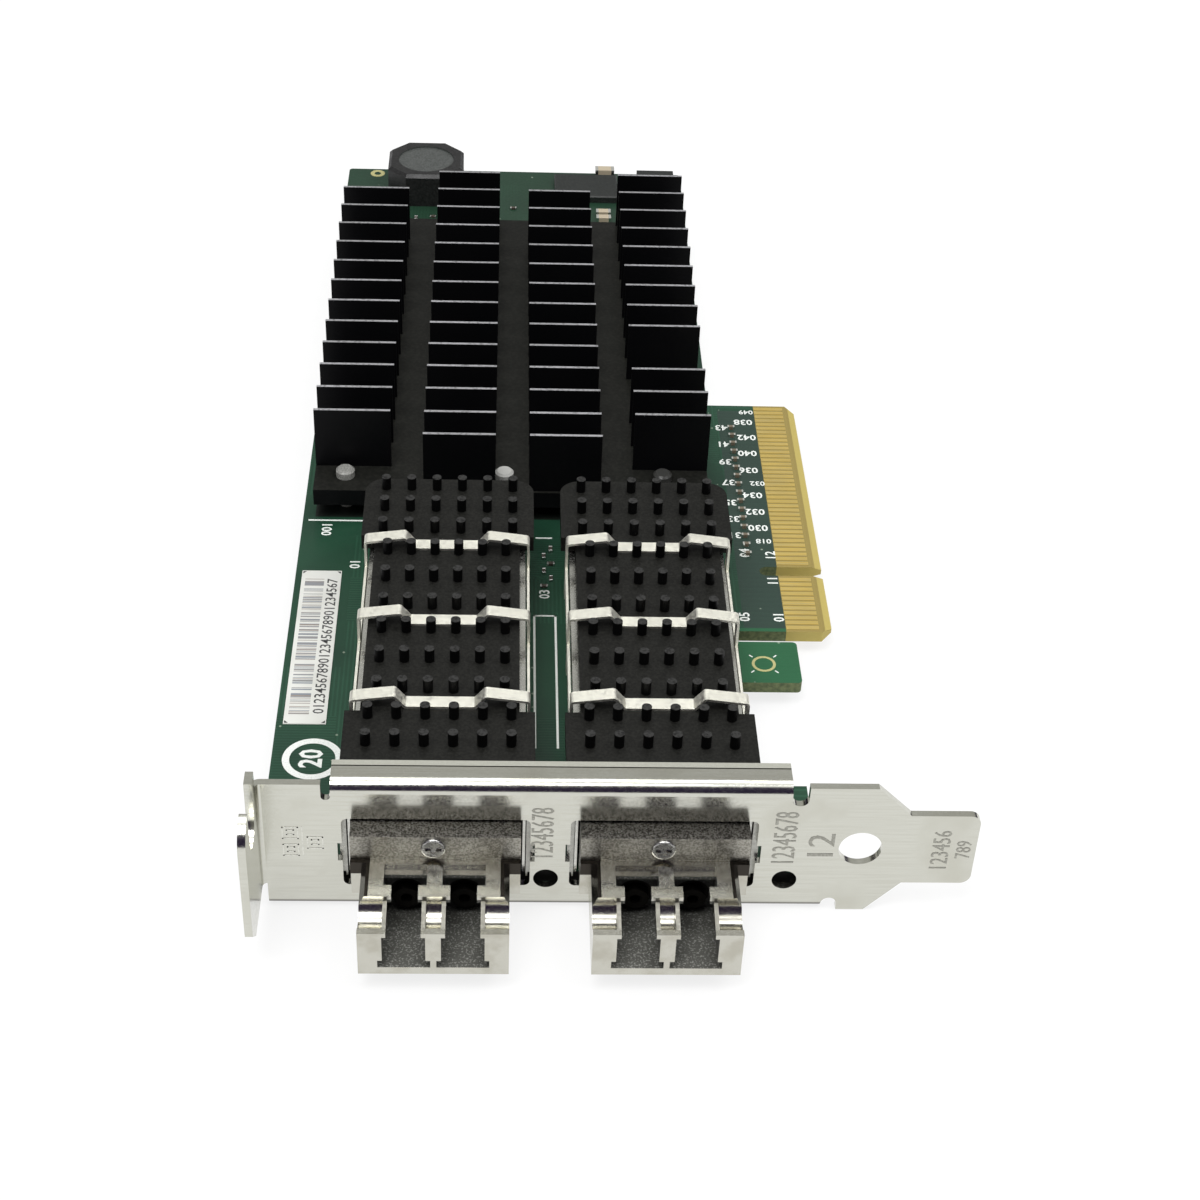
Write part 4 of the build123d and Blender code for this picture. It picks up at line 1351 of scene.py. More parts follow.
class Pieces:
    """Makes new meshes that ride on the card and take a finish."""

    BEVEL_STEPS = 2
    DOME_LEVELS = (0.0, 0.35, 0.7, 0.92)
    CURVE_STEPS = 2
    HEIGHT_TO_FONT_SIZE = 1.4

    def __init__(self, space: Space) -> None:
        """Keeps the space that every piece's numbers are in."""
        self.space = space

    def finish(self, name: str, mesh: Mesh, material: bpy.types.Material, slot: Slot) -> None:
        """Turns a mesh in the board's millimetres into a piece of the card.

        Args:
            name: The piece's name.
            mesh: The mesh, freed here.
            material: Its material.
            slot: The material slot that it belongs to; not used.
        """
        bmesh.ops.recalc_face_normals(mesh, faces=mesh.faces[:])
        for vertex in mesh.verts:
            vertex.co = self.space.point(*vertex.co)
        data = bpy.data.meshes.new(name)
        mesh.to_mesh(data)
        mesh.free()
        data.materials.append(material)
        piece = bpy.data.objects.new(name, data)
        bpy.context.scene.collection.objects.link(piece)
        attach(piece, "root")
        LOG.info("made %s, %d faces", name, len(data.polygons))

    def plate(self, mesh: Mesh, low: Sequence[float], high: Sequence[float], bevel: float = 0.0) -> None:
        """Adds a box by its corners, with its edges rounded if a bevel is given.

        Args:
            mesh: The mesh that the box goes into.
            low: The lowest corner.
            high: The highest corner.
            bevel: The width of the rounding.
        """
        size = [b - a for a, b in zip(low, high)]
        middle = [(a + b) / 2 for a, b in zip(low, high)]
        matrix = Matrix.Translation(middle) @ Matrix.Diagonal((*size, 1.0))
        made = bmesh.ops.create_cube(mesh, size=1.0, matrix=matrix)
        if bevel > 0:
            edges = list({edge for vertex in made["verts"] for edge in vertex.link_edges})
            bmesh.ops.bevel(
                mesh, geom=edges, offset=bevel, segments=self.BEVEL_STEPS, affect="EDGES", profile=0.5
            )

    def ring(self, mesh: Mesh, ring: Ring, level: float, height: float) -> None:
        """Adds a flat ring with a closed rim.

        Args:
            mesh: The mesh that the ring goes into.
            ring: The ring's place and size.
            level: The height of its lower face.
            height: The ring's thickness.
        """
        top = level + height
        rims = ((ring.inner, level), (ring.outer, level), (ring.outer, top), (ring.inner, top))
        loops = [
            [mesh.verts.new(corner) for corner in circle(*ring.middle, radius, at, ring.steps)]
            for radius, at in rims
        ]
        for first, second in zip(loops, loops[1:] + loops[:1]):
            bridge(mesh, first, second)

    def dome(self, mesh: Mesh, middle: Place, radius: float, height: float, steps: int = 14) -> None:
        """Adds a low round dome, such as a solder joint; a negative height hangs down.

        Args:
            mesh: The mesh that the dome goes into.
            middle: The middle of its foot.
            radius: The foot's radius.
            height: How far the top stands from the foot.
            steps: How many corners go round.
        """
        x, y, z = middle
        loops = []
        for share in self.DOME_LEVELS:
            reach = radius * math.cos(share * math.pi / 2)
            level = z + height * math.sin(share * math.pi / 2)
            loops.append([mesh.verts.new(corner) for corner in circle(x, y, reach, level, steps)])
        for first, second in zip(loops, loops[1:]):
            bridge(mesh, first, second)
        mesh.faces.new(loops[-1])
        mesh.faces.new(list(reversed(loops[0])))

    def words(self, mesh: Mesh, text: str, middle: Sequence[float], style: Digits) -> None:
        """Adds plain digits that lie flat on a surface.

        Args:
            mesh: The mesh that the digits go into.
            text: The digits.
            middle: The middle of the line of digits, halfway through its thickness.
            style: The digits' size and shape.
        """
        curve = bpy.data.curves.new("digits", "FONT")
        curve.body = text
        curve.size = style.size * self.HEIGHT_TO_FONT_SIZE
        curve.offset = style.bold
        curve.align_x = "CENTER"
        curve.align_y = "CENTER"
        curve.extrude = style.thickness / 2
        curve.resolution_u = self.CURVE_STEPS
        holder = bpy.data.objects.new("digits", curve)
        data = bpy.data.meshes.new_from_object(holder)
        narrow = Matrix.Diagonal((style.narrow, 1.0, 1.0, 1.0))
        turn = Matrix.Rotation(math.radians(style.reading.value), 4, "Z")
        data.transform(Matrix.Translation(middle) @ turn @ narrow)
        mesh.from_mesh(data)
        bpy.data.objects.remove(holder)
        bpy.data.curves.remove(curve)
        bpy.data.meshes.remove(data)


def pair(name: str) -> tuple[str, str]:
    """Returns the names of the two modules' copies of a node."""
    return f"{name}_a", f"{name}_b"


@dataclass
class Casework:
    """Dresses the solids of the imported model, one finish for each kind of piece."""

    space: Space
    effects: Effects

    @staticmethod
    def _metals() -> list[tuple[Finish, tuple[str, ...]]]:
        """Chooses the finishes of the sheets, castings, screws and contacts.

        Returns:
            Each finish with the nodes that wear it.
        """
        # Painted shade: the bracket's downward bends turn nearly black.
        dark = Ramp(-0.45, -0.1, 0.95, 0.0)
        bracket = BracketSheet("bracket_nickel", under=(0.03, 0.022, 0.015), underside_shade=dark, roughness=0.18)
        screw = PlatedSheet(
            "screw_zinc", colour=(0.55, 0.55, 0.53), stain=(0.35, 0.34, 0.32), roughness=0.28
        )
        cover = PlatedSheet("module_cover_nickel", colour=(0.5, 0.49, 0.45), roughness=0.35)
        # Painted shade: the optics sit deep in the ports, so their steel is nearly black.
        shaded_optics = PlatedSheet(
            "optic_steel_shaded", colour=(0.02, 0.018, 0.016), stain=(0.008, 0.008, 0.008), roughness=0.4
        )
        cage = PlatedSheet(
            "cage_nickel", colour=(0.66, 0.66, 0.62), stain=(0.5, 0.49, 0.45), roughness=0.24
        )
        gasket = PlatedSheet(
            "gasket_steel", colour=(0.42, 0.42, 0.39), stain=(0.3, 0.29, 0.26), roughness=0.3
        )
        # The clip's under colour is painted shade on its downward faces.
        clip = PlatedSheet(
            "clip_steel",
            colour=(0.9, 0.89, 0.8),
            stain=(0.8, 0.79, 0.7),
            under=(0.3, 0.29, 0.25),
            roughness=0.5,
        )
        return [
            (bracket, ("bracket",)),
            (screw, ("bracket_screws", *pair("module_screw"))),
            (CastNose("module_casting_a", MODULE_MIDDLES[0]), ("module_body_a",)),
            (CastNose("module_casting_b", MODULE_MIDDLES[1]), ("module_body_b",)),
            (cover, pair("module_cover")),
            (shaded_optics, (*pair("laser"), *pair("light_detector"))),
            (cage, pair("cage")),
            (gasket, pair("cage_gasket")),
            (PinCasting("pin_sink_black"), pair("pin_heat_sink")),
            (clip, pair("heat_sink_clip")),
            (BlackFins("fin_black"), ("main_heat_sink",)),
            (GoldContact("contact_gold"), ("edge_contacts_upper", "edge_contacts_lower")),
        ]

    @staticmethod
    def _others() -> list[tuple[Finish, tuple[str, ...]]]:
        """Chooses the finishes of the boards, plastics, chips, pads and label.

        Returns:
            Each finish with the nodes that wear it.
        """
        inner = Moulded("module_board_green", colour=(0.02, 0.06, 0.035), light=(0.03, 0.09, 0.05))
        epoxy = Moulded(
            "chip_epoxy", colour=(0.012, 0.014, 0.013), light=(0.028, 0.031, 0.029), roughness=0.4
        )
        pad = Moulded("heat_pad_grey", colour=(0.24, 0.26, 0.3), light=(0.32, 0.34, 0.38), roughness=0.7)
        lamp = Moulded(
            "lamp_plastic",
            colour=(0.008, 0.006, 0.005),
            light=(0.016, 0.013, 0.011),
            roughness=0.3,
            shine=0.1,
        )
        chips = ("controller_chip", *pair("converter_chip"), "large_chip", "regulator_chip")
        return [
            (inner, pair("module_circuit")),
            (Moulded("connector_plastic"), pair("host_connector")),
            (PushPin("push_pin_grey"), ("push_pins",)),
            (SolderMask("solder_mask_green"), ("circuit_board",)),
            (epoxy, chips),
            (pad, ("controller_heat_pad", *pair("converter_heat_pad"))),
            (PowderCore("inductor_powder"), ("power_inductor",)),
            (TinnedCeramic("tinned_ceramic"), ("end_capacitors", "coupling_capacitors")),
            (lamp, ("signal_lamps",)),
            (PrintedLabel("label_paper"), ("barcode_label",)),
        ]

    def dress(self, nodes: dict[str, bpy.types.Object]) -> None:
        """Gives every node its material.

        Args:
            nodes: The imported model's nodes by name.
        """
        left = set(nodes)
        for finish, names in self._metals() + self._others():
            material = finish.make(self.space, self.effects)
            for name in names:
                slots = nodes[name].data.materials
                slots.clear()
                slots.append(material)
                left.discard(name)
            LOG.info("dressed %s with %s", ", ".join(names), finish.name)
        if left:
            LOG.warning("no finish for %s", ", ".join(sorted(left)))


@dataclass
class BoardPrint:
    """White marks printed on the board: lines, ticks, a plain ring and plain numbers."""

    pieces: Pieces
    ink: bpy.types.Material
    bare: bpy.types.Material
    level: float = 0.0
    thickness: float = 0.02
    line: float = 0.28
    lines: tuple[tuple[float, float, float, float], ...] = (
        (0.9, 67.0, 8.0, 67.0),
        (30.9, 22.0, 30.9, 47.0),
        (33.6, 22.0, 33.6, 47.0),
        (30.9, 47.0, 33.6, 47.0),
        (31.3, 63.6, 33.2, 63.6),
    )
    contact_style: Digits = Digits(1.3, Reading.FROM_FAR_END, bold=0.035)
    contact_numbers: tuple[Number, ...] = (
        Number("038", 61.2, 92.3),
        Number("042", 61.4, 88.4),
        Number("040", 61.2, 84.4),
        Number("036", 61.0, 80.2),
        Number("034", 61.1, 74.2),
        Number("032", 61.1, 70.3),
        Number("030", 61.2, 66.6),
        Number("31", 57.9, 64.9),
        Number("33", 58.0, 68.6),
        Number("35", 57.9, 72.4),
        Number("37", 58.0, 77.2),
        Number("39", 57.9, 82.2),
        Number("41", 57.9, 86.6),
        Number("43", 57.9, 90.8),
    )
    small_style: Digits = Digits(1.0, Reading.FROM_FAR_END, bold=0.025)
    small_numbers: tuple[Number, ...] = (
        Number("018", 61.7, 63.6),
        Number("032", 62.0, 77.0),
        Number("049", 61.8, 94.9),
    )
    side_style: Digits = Digits(1.35, bold=0.03)
    side_numbers: tuple[Number, ...] = (
        Number("01", 62.3, 47.3),
        Number("11", 62.2, 54.9),
        Number("12", 62.4, 60.4),
        Number("04", 59.0, 60.9),
        Number("05", 57.9, 47.3),
        Number("01", 7.6, 57.4),
        Number("03", 32.3, 51.5),
        Number("001", 3.4, 65.0),
    )
    ring_style: Digits = Digits(2.7, bold=0.09, narrow=0.85)
    ring_numbers: tuple[Number, ...] = (Number("20", 4.75, 19.75),)
    ring: Ring = Ring((4.8, 19.7), 2.7, 3.55, 56)
    spot: Ring = Ring((59.5, 37.9), 1.15, 1.5, 40)
    hole_pad: Ring = Ring((4.84, 166.9), 0.55, 1.2, 32)
    tick_half: tuple[float, float] = (0.28, 0.08)
    tick_reach: float = 1.5

    def _line(self, mesh: Mesh, ends: tuple[float, float, float, float]) -> None:
        """Adds one straight printed line along X or Y.

        Args:
            mesh: The mesh that the line goes into.
            ends: X and Y of its start, then of its end.
        """
        half = self.line / 2
        x0, y0, x1, y1 = ends
        low = (min(x0, x1) - half, min(y0, y1) - half, self.level)
        high = (max(x0, x1) + half, max(y0, y1) + half, self.level + self.thickness)
        self.pieces.plate(mesh, low, high)

    def _ticks(self, mesh: Mesh) -> None:
        """Adds the four short slanted ticks round the bare spot of the corner tab.

        Args:
            mesh: The mesh that the ticks go into.
        """
        x, y = self.spot.middle
        half_x, half_y = self.tick_half
        reach = self.tick_reach * math.sqrt(2.0)
        for degrees in (45, 135, 225, 315):
            angle = math.radians(degrees)
            start = len(mesh.verts)
            middle = Vector((x + reach * math.cos(angle), y + reach * math.sin(angle), 0.0))
            high = (half_x, half_y, self.level + self.thickness)
            self.pieces.plate(mesh, (-half_x, -half_y, self.level), high)
            mesh.verts.ensure_lookup_table()
            for vertex in mesh.verts[start:]:
                turned = Matrix.Rotation(angle, 3, "Z") @ vertex.co
                vertex.co = turned + middle

    def _numbers(self, mesh: Mesh) -> None:
        """Adds plain numbers beside the contacts and the modules, and in the ring.

        Args:
            mesh: The mesh that the numbers go into.
        """
        for numbers, style in (
            (self.contact_numbers, self.contact_style),
            (self.small_numbers, self.small_style),
            (self.side_numbers, self.side_style),
            (self.ring_numbers, self.ring_style),
        ):
            level = self.level + style.thickness / 2
            for number in numbers:
                self.pieces.words(mesh, number.text, (number.first, number.second, level), style)

    def build(self) -> None:
        """Makes the printed lines, the ring, the ticks, the numbers and the bare pads."""
        lines, ring, numbers, pads = (bmesh.new() for _ in range(4))
        for ends in self.lines:
            self._line(lines, ends)
        self._ticks(lines)
        self.pieces.finish("board_lines", lines, self.ink, Slot.BOARD)
        self.pieces.ring(ring, self.ring, self.level, self.thickness)
        self.pieces.finish("board_ring", ring, self.ink, Slot.BOARD)
        self._numbers(numbers)
        self.pieces.finish("board_numbers", numbers, self.ink, Slot.BOARD)
        self.pieces.ring(pads, self.spot, self.level, self.thickness)
        self.pieces.ring(pads, self.hole_pad, self.level, self.thickness)
        self.pieces.finish("bare_pads", pads, self.bare, Slot.CONTACT)


@dataclass
class LabelPrint:
    """Plain counting digits along one side of the label."""

    pieces: Pieces
    ink: bpy.types.Material
    middle: tuple[float, float] = (4.95, 40.8)
    level: float = 0.12
    text: str = "0123456789012345678901234567"
    style: Digits = Digits(1.35, bold=0.012)

    def build(self) -> None:
        """Makes the digits."""
        mesh = bmesh.new()
        middle = (*self.middle, self.level + self.style.thickness / 2)
        self.pieces.words(mesh, self.text, middle, self.style)
        self.pieces.finish("label_digits", mesh, self.ink, Slot.LABEL)


@dataclass
class NoseCheeks:
    """The thin cheeks on both sides of each port that close off the hollow behind the nose's lip."""

    pieces: Pieces
    metal: bpy.types.Material
    mouth_half: float = 1.85
    width: float = 0.45
    start: tuple[float, float] = (-8.06, 5.2)
    end: tuple[float, float] = (-11.44, 4.5)
    depth: float = 1.35
    steps: int = 10

    def _profile(self) -> list[tuple[float, float]]:
        """Draws the cheek's outline: a straight top edge and a round lower one.

        Returns:
            The outline's corners, each as Y and Z.
        """
        points = []
        for step in range(self.steps + 1):
            share = step / self.steps
            y = self.start[0] + (self.end[0] - self.start[0]) * share
            z = self.start[1] + (self.end[1] - self.start[1]) * share
            points.append((y, z - self.depth * math.sin(math.pi * share)))
        return points

    def _cheek(self, mesh: Mesh, low: float, high: float) -> None:
        """Adds one cheek between two places along X.

        Args:
            mesh: The mesh that the cheek goes into.
            low: Where it starts.
            high: Where it ends.
        """
        near, far = ([mesh.verts.new((x, y, z)) for y, z in self._profile()] for x in (low, high))
        mesh.faces.new(near)
        mesh.faces.new(list(reversed(far)))
        bridge(mesh, far, near)

    def build(self) -> None:
        """Makes both cheeks of every port."""
        mesh = bmesh.new()
        for middle in MODULE_MIDDLES:
            for port in (middle - PORT_PITCH / 2, middle + PORT_PITCH / 2):
                self._cheek(mesh, port - self.mouth_half - self.width, port - self.mouth_half)
                self._cheek(mesh, port + self.mouth_half, port + self.mouth_half + self.width)
        self.pieces.finish("nose_cheeks", mesh, self.metal, Slot.MODULE)


@dataclass(frozen=True)
class PartRow:
    """A row of small parts, each a step further on both axes until an axis's cycle is full.

    Of every along_every parts, the one counted along_first lies along X and the others along Y.
    """

    start: tuple[float, float]
    step: tuple[float, float]
    cycle: tuple[int, int]
    count: int
    along_every: int
    along_first: int = 0

    def places(self) -> list[tuple[float, float, bool]]:
        """Counts out the row.

        Returns:
            Each part's X and Y, and whether it lies along X.
        """
        places = []
        for part in range(self.count):
            x = self.start[0] + self.step[0] * (part % self.cycle[0])
            y = self.start[1] + self.step[1] * (part % self.cycle[1])
            places.append((x, y, part % self.along_every == self.along_first))
        return places


@dataclass(frozen=True)
class Joint:
    """One kind of solder joint: its foot's radius, and its height, which is negative downwards."""

    radius: float
    height: float
    steps: int = 14


@dataclass
class SmallParts:
    """Tiny soldered parts on the component side, and solder joints on the other."""

    pieces: Pieces
    body: bpy.types.Material
    tin: bpy.types.Material
    half_length: float = 0.5
    half_width: float = 0.25
    height: float = 0.35
    body_share: float = 0.6
    cap_share: float = 0.8
    cap_half: float = 0.12
    cap_rise: float = 0.02
    bevel: float = 0.04
    rows: tuple[PartRow, ...] = (
        PartRow((32.2, 53.0), (0.9, 1.6), (2, 6), 6, along_every=3),
        PartRow((31.2, 8.0), (1.1, 3.1), (3, 4), 4, along_every=2),
        PartRow((16.0, 148.5), (1.6, 1.2), (5, 2), 5, along_every=2),
        PartRow((28.0, 148.0), (1.7, 1.5), (4, 2), 4, along_every=2, along_first=1),
    )
    loose: tuple[tuple[float, float, bool], ...] = (
        (11.9, 151.2, False),
        (14.7, 151.8, True),
        (27.9, 155.2, True),
    )
    board_thickness: float = 1.57
    cage_joint: Joint = Joint(0.55, -0.35)
    cage_reach: float = 9.6
    cage_start: float = 6.0
    cage_pitch: float = 8.6
    cage_joints: int = 7
    connector_joint: Joint = Joint(0.3, -0.3)
    connector_place: tuple[float, float] = (-5.6, 59.4)
    connector_pitch: float = 0.8
    connector_joints: int = 15
    hole_joint: Joint = Joint(0.28, -0.08, 10)
    holes: int = 60
    holes_x: tuple[float, float] = (4.0, 53.0)
    holes_y: tuple[float, float] = (74.0, 160.0)
    seed: int = 4

    def _chip(self, bodies: Mesh, ends: Mesh, x: float, y: float, along_x: bool) -> None:
        """Adds one resistor or capacitor with a tinned cap at each end.

        Args:
            bodies: The mesh that the body goes into.
            ends: The mesh that the caps go into.
            x: The part's middle along X.
            y: The part's middle along Y.
            along_x: Whether the part lies along X rather than Y.
        """
        body = (self.half_length * self.body_share, self.half_width)
        half_x, half_y = body if along_x else body[::-1]
        self.pieces.plate(
            bodies, (x - half_x, y - half_y, 0.0), (x + half_x, y + half_y, self.height), self.bevel
        )
        cap = (self.cap_half, self.half_width)
        half_x, half_y = cap if along_x else cap[::-1]
        for side in (-1, 1):
            move = self.half_length * self.cap_share * side
            cx, cy = (x + move, y) if along_x else (x, y + move)
            high = (cx + half_x, cy + half_y, self.height + self.cap_rise)
            self.pieces.plate(ends, (cx - half_x, cy - half_y, 0.0), high, self.bevel)

    def _joint(self, mesh: Mesh, x: float, y: float, joint: Joint) -> None:
        """Adds one solder joint under the board."""
        self.pieces.dome(mesh, (x, y, -self.board_thickness), joint.radius, joint.height, joint.steps)

    def _joints(self, mesh: Mesh) -> None:
        """Adds the joints of the cages, the host connectors and the plated holes.

        Args:
            mesh: The mesh that the joints go into.
        """
        left, connector_y = self.connector_place
        for middle in MODULE_MIDDLES:
            for number in range(self.cage_joints):
                y = self.cage_start + self.cage_pitch * number
                for side in (-1, 1):
                    self._joint(mesh, middle + self.cage_reach * side, y, self.cage_joint)
            for number in range(self.connector_joints):
                x = middle + left + self.connector_pitch * number
                self._joint(mesh, x, connector_y, self.connector_joint)
        chance = random.Random(self.seed)
        for _ in range(self.holes):
            x = chance.uniform(*self.holes_x)
            y = chance.uniform(*self.holes_y)
            self._joint(mesh, round(x, 1), round(y, 1), self.hole_joint)

    def build(self) -> None:
        """Makes the small parts between the modules and at the far end, and the joints below."""
        bodies, ends, joints = (bmesh.new() for _ in range(3))
        places = [place for row in self.rows for place in row.places()]
        for x, y, along in (*places, *self.loose):
            self._chip(bodies, ends, x, y, along)
        self.pieces.finish("small_parts", bodies, self.body, Slot.CAPACITOR)
        self.pieces.finish("small_part_ends", ends, self.tin, Slot.CAPACITOR)
        self._joints(joints)
        self.pieces.finish("solder_joints", joints, self.tin, Slot.CONTACT)


@dataclass
class BracketMarks:
    """The shallow stamped marks on the bracket: plain squares with a line, and plain numbers.

    squares gives the squares' middles, and joining the line's X, its lowest Z and its highest.
    """

    pieces: Pieces
    metal: bpy.types.Material
    dark: bpy.types.Material
    face: float = 0.0
    proud: float = 0.03
    sunk: float = 0.05
    line: float = 0.16
    squares: tuple[tuple[float, float], ...] = ((4.2, 7.2), (4.2, 4.65), (6.85, 5.75))
    outer: tuple[float, float] = (1.8, 1.8)
    inner: tuple[float, float] = (0.9, 0.8)
    inner_rise: float = 0.1
    joining: tuple[float, float, float] = (5.5, 3.7, 8.2)
    stamped: tuple[tuple[Number, Digits], ...] = (
        (Number("12345678", 31.6, 7.3), Digits(2.5, thickness=0.03, narrow=0.56)),
        (Number("12345678", 58.1, 6.8), Digits(2.6, thickness=0.03, narrow=0.56)),
        (Number("12", 62.2, 5.5), Digits(3.0, thickness=0.03, narrow=1.05)),
        (Number("123456", 75.4, 5.1), Digits(2.0, thickness=0.03, narrow=0.74)),
        (Number("789", 77.9, 5.3), Digits(1.7, thickness=0.03, narrow=0.78)),
    )

    def _bar(self, mesh: Mesh, x: tuple[float, float], z: tuple[float, float]) -> None:
        """Adds one bar just proud of the face; x and z give where it starts and ends."""
        low = (x[0], self.face - self.proud, z[0])
        self.pieces.plate(mesh, low, (x[1], self.face + self.sunk, z[1]))

    def _frame(self, mesh: Mesh, x: float, z: float, size: tuple[float, float]) -> None:
        """Adds a square outline.

        Args:
            mesh: The mesh that the outline goes into.
            x: Its middle along X.
            z: Its middle along Z.
            size: Its width and height.
        """
        left, right = x - size[0] / 2, x + size[0] / 2
        low, high = z - size[1] / 2, z + size[1] / 2
        self._bar(mesh, (left, right), (low, low + self.line))
        self._bar(mesh, (left, right), (high - self.line, high))
        self._bar(mesh, (left, left + self.line), (low, high))
        self._bar(mesh, (right - self.line, right), (low, high))

    def _number(self, mesh: Mesh, number: Number, style: Digits) -> None:
        """Adds one stamped number that runs up the bracket's face.

        Args:
            mesh: The mesh that the number goes into.
            number: The digits and their middle along X and Z.
            style: The digits' size and shape.
        """
        part = bmesh.new()
        self.pieces.words(part, number.text, (0.0, 0.0, 0.0), style)
        for vertex in part.verts:
            across, up, out = vertex.co
            level = self.face - style.thickness / 2 - out
            vertex.co = (number.first + across, level, number.second + up)
        data = bpy.data.meshes.new("number")
        part.to_mesh(data)
        part.free()
        mesh.from_mesh(data)
        bpy.data.meshes.remove(data)

    def build(self) -> None:
        """Makes the squares with their line, and the numbers."""
        sign, numbers = bmesh.new(), bmesh.new()
        for x, z in self.squares:
            self._frame(sign, x, z, self.outer)
            self._frame(sign, x, z + self.inner_rise, self.inner)
        x, low, high = self.joining
        self._bar(sign, (x - self.line / 2, x + self.line / 2), (low, high))
        self.pieces.finish("bracket_sign", sign, self.metal, Slot.BRACKET)
        for number, style in self.stamped:
            self._number(numbers, number, style)
        self.pieces.finish("bracket_numbers", numbers, self.dark, Slot.BRACKET)


@dataclass(frozen=True)
class SoftLamp:
    """One square soft lamp aimed at the card; its place and size are in metres."""

    name: str
    place: Place
    size: float
    power: float

    def build(self) -> None:
        """Makes the lamp."""
        data = bpy.data.lights.new(self.name, "AREA")
        data.size = self.size
        data.energy = self.power
        lamp = bpy.data.objects.new(self.name, data)
        lamp.location = self.place
        lamp.rotation_mode = "QUATERNION"
        lamp.rotation_quaternion = (-Vector(self.place)).to_track_quat("-Z", "Y")
        bpy.context.scene.collection.objects.link(lamp)


@dataclass
class Studio:
    """Plain pale floor, soft lamps, and a background that is white to the eye and in reflections.

    The floor slopes from the bracket's lower edge to the barbs of the far push pins, which the
    card rests on; rest_near and rest_far give Y and the height of each, in millimetres.
    """

    space: Space
    lamps: tuple[SoftLamp, ...] = (
        SoftLamp("key_lamp", (-0.25, -0.4, 0.95), 0.5, 7.0),
        SoftLamp("fill_lamp", (0.5, -0.15, 0.85), 0.45, 3.5),
        SoftLamp("top_lamp", (0.0, 0.3, 1.05), 0.4, 2.0),
    )
    white: Colour = (1.0, 1.0, 1.0)
    ambient: float = 0.55
    floor_size: float = 2.4
    floor_gap: float = 0.00005
    floor_white: Colour = (0.85, 0.85, 0.85)
    rest_near: tuple[float, float] = (0.86, 0.0)
    rest_far: tuple[float, float] = (139.3, 1.85)
    glow: Ramp = Ramp(0.25, 0.9, 0.8, 1.0)
    wall_radius: float = 1.15
    wall_low: float = -0.05
    wall_high: float = 1.8
    wall_steps: int = 96
    wall_dark: Colour = (0.03, 0.022, 0.05)
    wall_light: Colour = (0.5, 0.5, 0.48)
    lit_height: Ramp = Ramp(0.216, 0.54)
    lit_depth: Ramp = Ramp(-0.3, 0.5)

    def build(self) -> None:
        """Makes the world, the floor, the walls and the lamps."""
        self._world()
        self._floor()
        self._walls()
        for lamp in self.lamps:
            lamp.build()

    @staticmethod
    def _seen(graph: Graph) -> Socket:
        """Tells rays that show a thing from rays that only light another.

        Args:
            graph: The graph to add the nodes to.

        Returns:
            1 for rays from the camera, from gloss and through glass.
        """
        rays = graph.add("ShaderNodeLightPath").outputs
        glossy = graph.larger(rays["Is Glossy Ray"], rays["Is Transmission Ray"])
        return graph.larger(rays["Is Camera Ray"], glossy)

    @staticmethod
    def _stage(name: str, mesh: Mesh, material: bpy.types.Material) -> bpy.types.Object:
        """Turns a mesh in metres into a thing of the studio, which isn't part of the card.

        Args:
            name: The thing's name.
            mesh: The mesh, freed here.
            material: Its material.

        Returns:
            The new object.
        """
        data = bpy.data.meshes.new(name)
        mesh.to_mesh(data)
        mesh.free()
        data.materials.append(material)
        thing = bpy.data.objects.new(name, data)
        bpy.context.scene.collection.objects.link(thing)
        thing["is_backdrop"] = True
        return thing

    def _world(self) -> None:
        """Makes the background, white where it is seen and softer as a light."""
        world = bpy.data.worlds.new("studio")
        bpy.context.scene.world = world
        graph = Graph.of(world)
        shaders = []
        for strength in (self.ambient, 1.0):
            node = graph.add("ShaderNodeBackground")
            graph.feed(node.inputs["Color"], self.white)
            graph.feed(node.inputs["Strength"], strength)
            shaders.append(node.outputs[0])
        graph.show("ShaderNodeOutputWorld", graph.blend(self._seen(graph), *shaders))

    def _floor(self) -> None:
        """Makes the white sheet under the card, which glows more the further it lies from it."""
        material = bpy.data.materials.new("floor_white")
        graph = Graph.of(material)
        paper = graph.add("ShaderNodeBsdfDiffuse")
        graph.feed(paper.inputs["Color"], self.floor_white)
        away = graph.add("ShaderNodeVectorMath", operation="LENGTH")
        graph.feed(away.inputs[0], graph.add("ShaderNodeTexCoord").outputs["Object"])
        glowing = graph.times(self._seen(graph), graph.ease(away.outputs["Value"], self.glow))
        light = graph.add("ShaderNodeEmission").outputs[0]
        graph.show("ShaderNodeOutputMaterial", graph.blend(glowing, paper.outputs[0], light))
        near = self.rest_near[0] - self.space.near
        far = self.rest_far[0] - self.space.near
        slope = (self.rest_far[1] - self.rest_near[1]) / (far - near)
        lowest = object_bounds()[0][2]
        half = self.floor_size / 2
        mesh = bmesh.new()
        sheet = []
        for x, y in ((-half, -half), (half, -half), (half, half), (-half, half)):
            level = lowest + slope * (y - near / MM_PER_METRE) - self.floor_gap
            sheet.append(mesh.verts.new((x, y, level)))
        mesh.faces.new(sheet)
        self._stage("floor", mesh, material)

    def _walls(self) -> None:
        """Makes the grey walls, which only reflections show: dark low down and behind the camera."""
        material = bpy.data.materials.new("studio_walls")
        graph = Graph.of(material)
        _, y, z = graph.parts(graph.add("ShaderNodeNewGeometry").outputs["Position"])
        lit = graph.times(graph.ease(z, self.lit_height), graph.ease(y, self.lit_depth))
        light = graph.add("ShaderNodeEmission")
        graph.feed(light.inputs["Color"], graph.mix(lit, self.wall_dark, self.wall_light))
        graph.show("ShaderNodeOutputMaterial", light.outputs[0])
        mesh = bmesh.new()
        radius, steps = self.wall_radius, self.wall_steps
        low, high = (
            [mesh.verts.new(corner) for corner in circle(0.0, 0.0, radius, level, steps)]
            for level in (self.wall_low, self.wall_high)
        )
        bridge(mesh, low, high)
        walls = self._stage("walls", mesh, material)
        walls.visible_camera = False
        walls.visible_diffuse = False
        walls.visible_shadow = False


